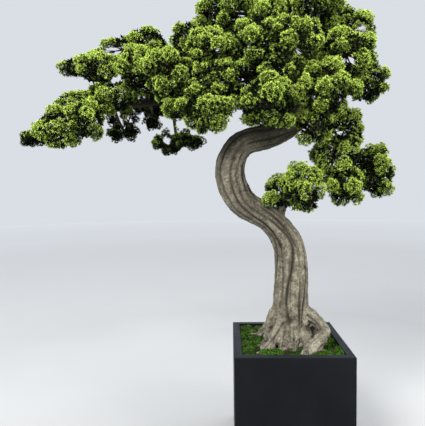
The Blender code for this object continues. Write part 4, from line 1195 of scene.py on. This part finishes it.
def build_trunk(settings):
    """The trunk, its roots and the low bough, in one skin of bark."""
    low = next(bough for bough in BOUGHS if bough.name == LOW_BOUGH)
    trunk = line_of(smooth_route(TRUNK, TRUNK_BARK_STEPS))
    limbs = [line_of(bough_rows(low, ROOT_BARK_STEPS))]
    limbs += [line_of(smooth_route(root, ROOT_BARK_STEPS)) for root in ROOTS]
    bark = bark_material("bark_weathered", settings.ridge, settings.furrow, 0.003, 0.3, settings.foot,
                         settings.crown)
    tubes = [tube(trunk, TRUNK_SIDES)] + [tube(limb, LIMB_SIDES) for limb in limbs]
    piece = mesh_object("trunk_bark", *joined(tubes), [bark])
    skin = piece.modifiers.new("skin", "REMESH")
    skin.mode = "VOXEL"
    skin.voxel_size = settings.grain
    soften = piece.modifiers.new("soften", "SMOOTH")
    soften.factor = 0.5
    soften.iterations = SOFTEN_STEPS
    evaluate(piece)
    blend_joins(piece, [trunk] + limbs)
    cut_at_ground(piece)
    carve_bark(piece, [trunk] + limbs, settings.flute_depth, TRUNK_LUMPS)
    smooth_faces(piece.data)
    return piece


def build_boughs(settings):
    """The boughs in the crown, joined in one piece."""
    lines = [line_of(bough_rows(bough, BOUGH_BARK_STEPS)) for bough in BOUGHS if bough.name != LOW_BOUGH]
    bark = bark_material("bark_dark", settings.bough, settings.bough_furrow, 0.002, 0.15)
    tubes = [tube(line, LIMB_SIDES) for line in lines]
    piece = mesh_object("bough_bark", *joined(tubes), [bark], smooth=True)
    carve_bark(piece, lines, settings.flute_depth, BOUGH_LUMPS)
    return piece


# How a mass grows


def balls_between(start, end, first, last):
    """Balls strung from one point to another: rows of x, y, z and radius that fill a round rod."""
    start, end = np.asarray(start, float), np.asarray(end, float)
    count = max(2, math.ceil(np.linalg.norm(end - start) / BALL_STEP) + 1)
    t = np.linspace(0, 1, count)[:, None]
    return np.hstack([start + (end - start) * t, first + (last - first) * t])


def balls_along(rows):
    """Balls strung along a limb."""
    return np.vstack([balls_between(a[:3], b[:3], a[3], b[3]) for a, b in zip(rows, rows[1:])])


def limb_balls():
    """The balls of every limb, by the limb's name."""
    trunk = smooth_route(TRUNK, TRUNK_STEPS)
    bend = TRUNK_BEND * TRUNK_STEPS
    rows = {"trunk": trunk[:bend + 1], "trunk_upper": trunk[bend:]}
    for bough in BOUGHS:
        rows[bough.name] = bough_rows(bough)
    return {name: balls_along(limb) for name, limb in rows.items()}


def clear_of(balls, others):
    """True where no ball comes too near to the other balls."""
    balls = np.atleast_2d(balls)
    apart = np.linalg.norm(balls[:, None, :3] - others[None, :, :3], axis=2)
    return bool((apart - balls[:, None, 3] - others[None, :, 3]).min(initial=1.0) > CLEARANCE)


def mass_seed(mass):
    return FIRST_SEED + MASSES.index(mass)


def hub_of(mass):
    """The point in a mass's space where its stem ends, low in it where twigs part from there."""
    drop = HUB_DROP * mass.half[2] if mass.name in OPEN_MASSES else 0
    return np.array(mass.centre) - (0, 0, drop)


def lay_stems(limbs):
    """The balls of every mass's one stem: it leaves its limb at the nearest point from which it is
    clear of the other limbs and of the stems before it."""
    stems = {}
    for mass in MASSES:
        hub = hub_of(mass)
        others = [balls for name, balls in limbs.items() if name != mass.limb]
        others = np.vstack(others + list(stems.values()))
        own = limbs[mass.limb]
        for at in np.argsort(np.linalg.norm(own[:, :3] - hub, axis=1)):
            stem = balls_between(own[at, :3], hub, STEM_RADIUS, HUB_RADIUS)
            outside = stem[np.linalg.norm(stem[:, :3] - own[at, :3], axis=1) > STEM_BURIED * own[at, 3]]
            if clear_of(outside, others):
                break
        stems[mass.name] = stem
    return stems


def walls_of(mass):
    """The flat bounds of a mass's space: for each neighbour that would reach into it, the direction
    of that neighbour and how far the space goes towards it from the middle."""
    walls = []
    for other in MASSES:
        if other is mass:
            continue
        step = np.array(other.centre) - mass.centre
        apart = np.linalg.norm(step)
        way = step / apart
        own, beyond = np.linalg.norm(way * mass.half), np.linalg.norm(way * other.half)
        if LOBE_LIMIT * (own + beyond) > apart:
            walls.append((*way, apart * own / (own + beyond) - SPACE_GAP))
    return np.array(walls).reshape(-1, 4)


def surface(half):
    """The surface of an egg of the given half-sizes, near enough to share things out by."""
    a, b, c = np.array(half) ** 1.6
    return 4 * math.pi * ((a * b + a * c + b * c) / 3) ** (1 / 1.6)


def lobes_of(mass):
    """Seeded lobes of a dense mass, spread out over its upper parts: rows of x, y, z and radius in
    shares of its half-sizes."""
    rng = random.Random(mass_seed(mass))
    mean = math.prod(mass.half) ** (1 / 3)
    lobes = []
    for _ in range(max(4, round(surface(mass.half) / LOBE_AREA))):
        radius = min(rng.uniform(*LOBE_RADIUS) / mean, LARGEST_LOBE)
        best, most_room = None, -1.0
        for _ in range(LOBE_TRIES):
            way = np.array([rng.gauss(0, 1) for _ in range(3)])
            way /= np.linalg.norm(way)
            place = (rng.uniform(*LOBE_REACH) - radius) * way
            room = min([np.linalg.norm(place - lobe[:3]) for lobe in lobes], default=1.0)
            if way[2] > LOBE_LOWEST and room > most_room:
                best, most_room = place, room
        if best is not None:
            lobes.append((*best, radius))
    return np.array(lobes)


def in_walls(balls, centre, walls):
    """True where all of the balls lie inside the walls."""
    return bool(((balls[:, :3] - centre) @ walls[:, :3].T + balls[:, 3:] <= walls[:, 3]).all())


def grow_twigs(mass, stem, thin_balls):
    """The clump places and the twigs of an open mass: seeded places spread evenly through its space,
    each on a twig that forks from the nearest wood and clears the limbs and the other stems."""
    rng = random.Random(mass_seed(mass))
    walls = walls_of(mass)
    spread = np.array(mass.half) - CLUMP_HALF
    wood = stem[-1:]
    run = np.zeros(1)
    places, twigs = [], []
    for _ in range(CLUMPS):
        best, most_room = None, CLUMP_APART
        for _ in range(CLUMP_TRIES):
            way = np.array([rng.gauss(0, 1) for _ in range(3)])
            place = mass.centre + spread * way / np.linalg.norm(way) * rng.uniform(0.5, 1) ** 0.5
            room = min([np.linalg.norm(place - other) for other in places], default=1.0)
            at = int(np.argmin(np.linalg.norm(wood[:, :3] - place, axis=1) + FORK_BIAS * run))
            twig = balls_between(wood[at, :3], place, FORK_RADIUS * wood[at, 3], TWIG_TIP_RADIUS)
            grown = np.vstack([np.append(place, CLUMP_CORE * CLUMP_RADIUS), twig[2:]])
            if room > most_room and clear_of(grown, thin_balls) and in_walls(grown, mass.centre, walls):
                best, most_room = (place, at, twig), room
        if best is None:
            continue
        place, at, twig = best
        places.append(place)
        twigs.append((twig[0], twig[-1]))
        run = np.concatenate([run, run[at] + np.linalg.norm(twig[:, :3] - twig[0, :3], axis=1)])
        wood = np.vstack([wood, twig])
    return places, twigs


# Sprays and needles


def even_directions(count, rng):
    """Directions spread evenly round a sphere and turned at random, a little uneven."""
    step = np.arange(count) + 0.5
    height = 1 - 2 * step / count
    angle = step * GOLDEN_TURN
    across = np.sqrt(1 - height ** 2)
    ways = np.stack([across * np.cos(angle), across * np.sin(angle), height], -1)
    ways = unit(ways + rng.normal(0, UNEVEN / math.sqrt(count), ways.shape))
    turn, _ = np.linalg.qr(rng.normal(size=(3, 3)))
    return ways @ turn.T


def count_on(area, spacing, least):
    return max(least, round(area / (PACKING * spacing ** 2)))


Shell = namedtuple("Shell", "middle radius hub")


def shell_sprays(shells, centre, half, spacing, inset, rng):
    """Sprays spread over the outside of overlapping round shells, given in shares of the half-sizes, whose
    surface is gathered into small tufts. Each is a row of its place, the way it points, the hub that its
    shoot comes from and how much lighter it is, with painted shade in the crevices between shells, in the
    tufts' folds and on the lower tufts."""
    found = []
    mean = float(np.prod(half)) ** (1 / 3)
    for shell in shells:
        radius = shell.radius - inset / mean
        area = surface(radius * half)
        count = count_on(area, spacing, 6)
        ways = even_directions(count, rng)
        tufts = even_directions(count_on(area, TUFT_SPACING, 4), rng)
        off = (ways[:, None] - tufts[None]) * radius * half
        nearest = np.linalg.norm(off, axis=2).argmin(1)
        lean = off[np.arange(count), nearest] / (TUFT_EDGE * TUFT_SPACING)
        fold = np.minimum(1, (lean ** 2).sum(1))
        low = (rng.random(len(tufts)) ** 2)[nearest]
        depth = TUFT_DEPTH * fold + TUFT_UNEVEN * low
        shares = shell.middle + (radius - depth / mean)[:, None] * ways
        off = [np.linalg.norm(shares - other.middle, axis=1) - other.radius for other in shells
               if other is not shell]
        off = mean * np.min(off, axis=0) + inset if off else np.ones(count)
        # A random tone for the lobe, less the painted shade in the crevices between lobes
        tint = rng.normal(0, LOBE_SPREAD) - CREVICE_SHADE * np.exp(-off / CREVICE_WIDTH)
        # A random tone for each tuft, less the painted shade in its folds and on the lower tufts
        tint += rng.normal(0, TUFT_SPREAD, len(tufts))[nearest] - TUFT_SHADE * (fold + 0.5 * low)
        reach = np.linalg.norm(shares, axis=1)
        shares *= np.minimum(1, (LOBE_LIMIT - inset / mean) / np.maximum(reach, 1e-9))[:, None]
        axes = unit(unit(ways / half) + TUFT_FAN * lean)
        rows = np.hstack([centre + shares * half, axes, np.tile(shell.hub, (count, 1)), tint[:, None]])
        found.append(rows[off > 0])
    return np.vstack(found)


def off_gaps(sprays, room):
    """The sprays that stand off the small gaps through the crown."""
    eye = np.array(CAMERA_PLACE)
    apart = sprays[:, :3] - eye
    for across, up, radius in SKY_GAPS:
        middle = np.array((across, 0.0, up)) - eye
        depth = (apart @ middle) / (middle @ middle)
        off = np.linalg.norm(apart - depth[:, None] * middle, axis=1)
        keep = off > radius * depth + room
        sprays, apart = sprays[keep], apart[keep]
    return sprays


def keep_clear(sprays, mass, wood, coat, rng):
    """The sprays inside the mass's walls, off the wood and off the gaps. Of those beyond a wall a part
    moves back to it."""
    centre, walls = np.array(mass.centre), walls_of(mass)
    ahead = (sprays[:, :3] - centre) @ walls[:, :3].T
    limit = walls[:, 3] - WALL_ROOM
    share = np.where(ahead > limit, limit / np.maximum(ahead, 1e-9), 1.0).min(1, initial=1.0)
    sprays[:, :3] = centre + (sprays[:, :3] - centre) * share[:, None]
    stays = (share == 1) | ((share > WALL_NEAREST) & (rng.random(len(sprays)) < coat.kept))
    apart = np.linalg.norm(sprays[:, None, :3] - wood[None, :, :3], axis=2) - wood[:, 3]
    return off_gaps(sprays[stays & (apart.min(1, initial=1.0) > WOOD_ROOM)], coat.room)


def slim_shell(lobe, centre, half):
    """A shell a little slimmer than the lobe that reaches as far out."""
    reach = np.linalg.norm(lobe[:3])
    middle = lobe[:3] * (1 + (1 - SHELL_SLIMNESS) * lobe[3] / reach)
    return Shell(middle, SHELL_SLIMNESS * lobe[3], centre + 0.5 * lobe[:3] * half)


def dense_sprays(mass, settings, wood, rng):
    """The sprays of a dense mass: an outer coat on its lobes, and one inside it whose needles are painted in
    the darkest shade.
    """
    centre, half = np.array(mass.centre), np.array(mass.half)
    shells = [slim_shell(lobe, centre, half) for lobe in lobes_of(mass)]
    core = [Shell(np.zeros(3), INNER_SHARE, centre)]
    core += [Shell(shell.middle, SHELL_CORE * shell.radius, centre) for shell in shells]
    shells.append(Shell(np.zeros(3), BODY_SHARE, centre))
    outer = shell_sprays(shells, centre, half, settings.spacing, SPRAY_INSET * settings.needle, rng)
    outer = keep_clear(outer, mass, wood, OUTER_COAT, rng)
    inner = shell_sprays(core, centre, half, INNER_SPACING, 0.0, rng)
    return outer, keep_clear(inner, mass, wood, INNER_COAT, rng)


def open_sprays(mass, places, settings, wood, rng):
    """The outer and the inner sprays of an open mass, on the clumps at the given places."""
    outer, inner = [], []
    for place in places:
        clump = [Shell(PART_REACH * way, PART_RADIUS, place) for way in even_directions(CLUMP_PARTS, rng)]
        core = [Shell(np.zeros(3), CLUMP_CORE, place)]
        outer.append(shell_sprays(clump, place, CLUMP_HALF, OPEN_SPACING * settings.spacing,
                                  SPRAY_INSET * settings.needle, rng))
        inner.append(shell_sprays(core, place, CLUMP_HALF, OPEN_INNER_SPACING * INNER_SPACING, 0.0, rng))
    outer = keep_clear(np.vstack(outer), mass, wood, OUTER_COAT, rng)
    return outer, keep_clear(np.vstack(inner), mass, wood, INNER_COAT, rng)


def lightness(mass, sprays, rng):
    """How light each spray is painted: painted light on sprays that face up and stand high and far out in
    their mass, painted shade further in and beside the walls to other masses, and differences by chance.
    """
    away, walls = sprays[:, :3] - mass.centre, walls_of(mass)
    shares = away / np.array(mass.half)
    room = (walls[:, 3] - away @ walls[:, :3].T).min(1, initial=1.0)
    # Painted light: lighter facing up, high in the mass and far out of it; darker further in
    lit = (LIGHT_UP * sprays[:, 5] + LIGHT_HIGH * shares[:, 2]
           + LIGHT_OUT * (np.linalg.norm(shares, axis=1) - LIGHT_OUT_FROM))
    # Painted shade beside the walls to other masses
    shaded = sprays[:, 9] - WALL_SHADE * np.exp(-room / WALL_WIDTH)
    own = LIGHT + LIGHTER.get(mass.name, 0.0) + rng.normal(0, MASS_SPREAD)
    return own + lit + shaded + rng.normal(0, SPRAY_SPREAD, len(sprays))


def across_axes(axes):
    """Two directions across each axis and across each other."""
    helper = np.where(np.abs(axes[:, 2:]) < 0.9, (0.0, 0.0, 1.0), (1.0, 0.0, 0.0))
    beside = unit(np.cross(axes, helper))
    return beside, np.cross(axes, beside)


def needle_points(sprays, sizes, breadth, count, settings, rng):
    """Points of the sprays' needles, four to a needle: its base, two sides and tip."""
    places, axes = sprays[:, None, :3], unit(sprays[:, 3:6] + (0, 0, UPTURN))
    beside, across = across_axes(axes)
    step = np.arange(count) + 0.5
    tilt = SPRAY_TILT * np.sqrt(step / count) + rng.normal(0, TILT_SPREAD, (len(sprays), count))
    spin = step * GOLDEN_TURN + rng.uniform(0, 2 * np.pi, (len(sprays), 1))
    out = beside[:, None] * np.cos(spin)[..., None] + across[:, None] * np.sin(spin)[..., None]
    ways = axes[:, None] * np.cos(tilt)[..., None] + out * np.sin(tilt)[..., None]
    reach = (settings.needle * sizes[:, None] * rng.uniform(*NEEDLE_SIZES, tilt.shape))[..., None]
    side = unit(np.cross(ways, rng.normal(size=ways.shape)))
    fold = np.cross(side, ways) * NEEDLE_FOLD * settings.width
    side = side * 0.5 * breadth * settings.width * sizes[:, None, None]
    base = places + ways * NEEDLE_START * reach
    tip = places + ways * (1 + NEEDLE_START) * reach
    middle = base + NEEDLE_WIDEST * (tip - base) + fold
    return np.stack([base, middle + side, tip, middle - side], 2)


def needle_arrays(sprays, size, breadth, count, tones, settings, rng):
    """Points, faces and tones of the needles of some sprays, lighter in the middle of each, with the base of
    each needle in painted shade.
    """
    sizes = size * rng.uniform(*SPRAY_SIZES, len(sprays))
    points = needle_points(sprays, sizes, breadth, count, settings, rng)
    tones = np.repeat(tones[:, None], count, 1)
    tones[:, :int(LIGHTER_MIDDLE * count)] -= 1
    tones += rng.choice(tuple(TONE_STEPS), tones.shape, p=tuple(TONE_STEPS.values()))
    tones = np.clip(tones, 0, TONES - 1)
    first = 4 * np.arange(points.shape[0] * points.shape[1])[:, None]
    faces = np.stack([first + (0, 1, 3), first + (1, 2, 3)], 1).reshape(-1, 3)
    # The part of each needle at its base is painted in shade, some tones darker than its tip
    tones = np.stack([np.minimum(tones + BASE_DARKER, TONES - 1), tones], -1)
    return points.reshape(-1, 3), faces, tones.ravel()


def shoot_arrays(sprays):
    """Points and faces of a thin three-sided shoot from each spray's hub to its place."""
    start, end = sprays[:, 6:9], sprays[:, :3]
    beside, across = across_axes(unit(end - start))
    corners = [start + SHOOT_RADIUS * (math.cos(turn) * beside + math.sin(turn) * across)
               for turn in (0, 2 * math.pi / 3, 4 * math.pi / 3)]
    points = np.stack(corners + [end], 1).reshape(-1, 3)
    first = 4 * np.arange(len(sprays))[:, None]
    return points, np.vstack([first + sides for sides in ((0, 2, 1), (0, 1, 3), (1, 2, 3), (2, 0, 3))])


def rod(start, end, sides=5):
    """Points and faces of a short stem, a little bowed, from one row of x, y, z and radius to another."""
    t = np.linspace(0, 1, 5)[:, None]
    rows = start + (end - start) * t
    rows[:, 2] -= TWIG_BOW * np.linalg.norm(end[:3] - start[:3]) * np.sin(np.pi * t[:, 0])
    return tube(line_of(rows), sides)


def grow_mass(mass, stems, wood, settings):
    """The needles of one mass as points, faces and tones, and its twigs as points and faces."""
    rng = np.random.default_rng(mass_seed(mass))
    stem, hub = stems[mass.name], stems[mass.name][-1]
    near = np.vstack([wood] + [other for name, other in stems.items() if name != mass.name])
    reach = np.linalg.norm(near[:, :3] - mass.centre, axis=1) - near[:, 3]
    near = near[reach < max(mass.half) + NEAR_WOOD]
    if mass.name in OPEN_MASSES:
        places, forks = grow_twigs(mass, stem, near)
        outer, inner = open_sprays(mass, places, settings, near, rng)
        # An open mass hangs in the shade, which is painted into its tones
        shade, size = OPEN_SHADE, OPEN_INNER_SIZE
    else:
        outer, inner = dense_sprays(mass, settings, near, rng)
        shade, size = 0.0, INNER_SIZE
        ends = [np.append(end, LOBE_TWIG_TIP) for end in np.unique(outer[:, 6:9], axis=0)]
        forks = [(np.append(hub[:3], LOBE_TWIG_ROOT), end) for end in ends
                 if np.linalg.norm(end[:3] - hub[:3]) > 0.01]
    tones = np.clip(np.floor((1 - lightness(mass, outer, rng) + shade) * (TONES - 1)), 0, TONES - 1)
    # The inner coat is all in the darkest tone: painted shade inside the mass
    inner_shade_tones = np.full(len(inner), TONES - 1)
    parts = [needle_arrays(outer, 1.0, 1.0, settings.needles, tones.astype(int), settings, rng),
             needle_arrays(inner, size, INNER_BREADTH, settings.needles // 2, inner_shade_tones, settings, rng)]
    twigs = [rod(stem[0], hub, 7)] + [rod(*fork) for fork in forks] + [shoot_arrays(outer[::SHOOT_EVERY])]
    points, faces = joined([part[:2] for part in parts])
    return points, faces, np.concatenate([part[2] for part in parts]), joined(twigs)


def build_foliage(settings, bark):
    """Every piece of needles, with the masses that it stands for, and the twigs that carry them."""
    limbs = limb_balls()
    stems = lay_stems(limbs)
    wood = np.vstack(list(limbs.values()))
    by_name = {mass.name: mass for mass in MASSES}
    # Needle materials in steps from painted sunlight to painted shade
    materials = [leaf_material("needles_" + tone, getattr(settings, tone), 0.07, 0.65)
                 for tone in ("newest", "bright", "green", "deep", "shade", "darkest")]
    pieces, twigs = [], []
    for name, members in FOLIAGE.items():
        grown = [grow_mass(by_name[member], stems, wood, settings) for member in members]
        points, faces = joined([mass[:2] for mass in grown])
        if len(faces) >= MOST_FACES:
            raise RuntimeError(f"{name} has {len(faces)} faces")
        tones = np.concatenate([mass[2] for mass in grown])
        twigs += [mass[3] for mass in grown]
        pieces.append((mesh_object(name, points, faces, materials, tones), members))
    twig_bark = bark_material("twig_bark", bark.twig, bark.bough_furrow, 0.002, 0.06)
    return pieces, mesh_object("twigs", *joined(twigs), [twig_bark], smooth=True)


# Stage


def add_light(name, place, size, power, tint):
    light = bpy.data.lights.new(name, "AREA")
    light.shape = "DISK"
    light.size = size
    light.energy = power
    light.color = tint
    made = add_object(name, light)
    made.location = place
    made.rotation_euler = (Vector(LIGHT_TARGET) - Vector(place)).to_track_quat("-Z", "Y").to_euler()


def add_camera():
    camera = bpy.data.cameras.new("camera")
    camera.lens = CAMERA_LENS
    camera.sensor_width = CAMERA_SENSOR
    camera.clip_end = 200.0
    made = add_object("camera", camera)
    left, up, roll = (Matrix.Rotation(math.radians(degrees), 4, axis) for degrees, axis in (
        (CAMERA_LEFT, "Z"), (90 - CAMERA_DOWN, "X"), (CAMERA_ROLL, "Z")))
    made.matrix_world = Matrix.Translation(CAMERA_PLACE) @ (left @ up @ roll)
    bpy.context.scene.camera = made


def build_floor(settings):
    """A wide round floor whose top is level with the planter's underside."""
    around = np.arange(FLOOR_SIDES)
    angle = 2 * np.pi * around / FLOOR_SIDES
    edge = FLOOR_RADIUS * np.stack([np.cos(angle), np.sin(angle), 0 * angle], -1)
    faces = np.stack([around, (around + 1) % FLOOR_SIDES, np.full(FLOOR_SIDES, FLOOR_SIDES)], -1)
    return mesh_object("floor", np.vstack([edge, np.zeros((1, 3))]), faces, [floor_material(settings)])


# Operators


class BONSAI_OT_planter(Operator):
    """Make the planter"""
    bl_idname = "bonsai.make_planter"
    bl_label = "Planter"

    def execute(self, context):
        seat(build_planter(context.scene.bonsai_planter), ["planter"])
        return {"FINISHED"}


class BONSAI_OT_ground(Operator):
    """Make the soil, the moss cushions and the tufts on them"""
    bl_idname = "bonsai.make_ground"
    bl_label = "Soil and moss"

    def execute(self, context):
        settings = context.scene.bonsai_ground
        seat(build_soil(settings), ["soil"])
        moss = build_moss(settings)
        seat(moss, ["moss"])
        deep = leaf_material("moss_leaf", settings.moss, 0.08, 0.8)
        young_and_lit = leaf_material("moss_young_leaf", settings.young_moss, 0.08, 0.8)
        # The young moss's tufts stand only on the higher cushions: lighter young moss, and painted light on
        # the cushions' tops
        for name, material, seed, share, size, least in (
                ("moss_tufts", deep, 1, 0.55, 0.8 * settings.tuft, 0.34),
                ("moss_tips", young_and_lit, 2, 0.50, 0.9 * settings.tuft, 0.66)):
            seat(build_tufts(name, moss, material, settings, seed, share, size, least))
        return {"FINISHED"}


class BONSAI_OT_trunk(Operator):
    """Make the trunk with its roots and the low bough"""
    bl_idname = "bonsai.make_trunk"
    bl_label = "Trunk and roots"

    def execute(self, context):
        seat(build_trunk(context.scene.bonsai_bark), ["trunk", "trunk_upper", LOW_BOUGH])
        return {"FINISHED"}


class BONSAI_OT_boughs(Operator):
    """Make the boughs of the crown"""
    bl_idname = "bonsai.make_boughs"
    bl_label = "Boughs"

    def execute(self, context):
        names = [bough.name for bough in BOUGHS if bough.name != LOW_BOUGH]
        seat(build_boughs(context.scene.bonsai_bark), names)
        return {"FINISHED"}


class BONSAI_OT_foliage(Operator):
    """Grow the twigs and the needles of every mass"""
    bl_idname = "bonsai.grow_foliage"
    bl_label = "Twigs and needles"

    def execute(self, context):
        pieces, twigs = build_foliage(context.scene.bonsai_needles, context.scene.bonsai_bark)
        for piece, members in pieces:
            seat(piece, members)
        seat(twigs)
        return {"FINISHED"}


class BONSAI_OT_stage(Operator):
    """Set up the floor, the lights and the camera"""
    bl_idname = "bonsai.set_stage"
    bl_label = "Stage"

    def execute(self, context):
        settings = context.scene.bonsai_stage
        build_floor(settings)
        for name, (place, size, tint) in LIGHTS.items():
            add_light(name + "_light", place, size, getattr(settings, name), tint)
        world = bpy.data.worlds.new("studio_air")
        world.use_nodes = True
        world.node_tree.nodes["Background"].inputs["Color"].default_value = (*settings.air, 1.0)
        context.scene.world = world
        context.scene.view_settings.view_transform = "Standard"
        add_camera()
        return {"FINISHED"}


class BONSAI_PT_sidebar(Panel):
    """Lists the steps that build the bonsai tree and what can be changed"""
    bl_idname = "BONSAI_PT_sidebar"
    bl_label = "Bonsai"
    bl_space_type = "VIEW_3D"
    bl_region_type = "UI"
    bl_category = "Bonsai"

    def draw(self, context):
        for group, operators in PANEL_ROWS:
            box = self.layout.box()
            settings = getattr(context.scene, group)
            for name in settings.bl_rna.properties.keys():
                if name not in ("name", "rna_type"):
                    box.prop(settings, name)
            for operator in operators:
                box.operator(operator)


PANEL_ROWS = (
    ("bonsai_planter", ("bonsai.make_planter",)),
    ("bonsai_ground", ("bonsai.make_ground",)),
    ("bonsai_bark", ("bonsai.make_trunk", "bonsai.make_boughs")),
    ("bonsai_needles", ("bonsai.grow_foliage",)),
    ("bonsai_stage", ("bonsai.set_stage",)),
)
SETTINGS = {
    "bonsai_planter": PlanterSettings,
    "bonsai_ground": GroundSettings,
    "bonsai_bark": BarkSettings,
    "bonsai_needles": NeedleSettings,
    "bonsai_stage": StageSettings,
}
CLASSES = (*SETTINGS.values(), BONSAI_OT_planter, BONSAI_OT_ground, BONSAI_OT_trunk, BONSAI_OT_boughs,
           BONSAI_OT_foliage, BONSAI_OT_stage, BONSAI_PT_sidebar)


def register():
    for each in CLASSES:
        bpy.utils.register_class(each)
    for name, group in SETTINGS.items():
        setattr(bpy.types.Scene, name, PointerProperty(type=group))


def unregister():
    for name in SETTINGS:
        delattr(bpy.types.Scene, name)
    for each in reversed(CLASSES):
        bpy.utils.unregister_class(each)


def main():
    register()
    for _, operators in PANEL_ROWS:
        for operator in operators:
            group, name = operator.split(".")
            getattr(getattr(bpy.ops, group), name)()
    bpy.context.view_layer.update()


if __name__ == "__main__":
    main()
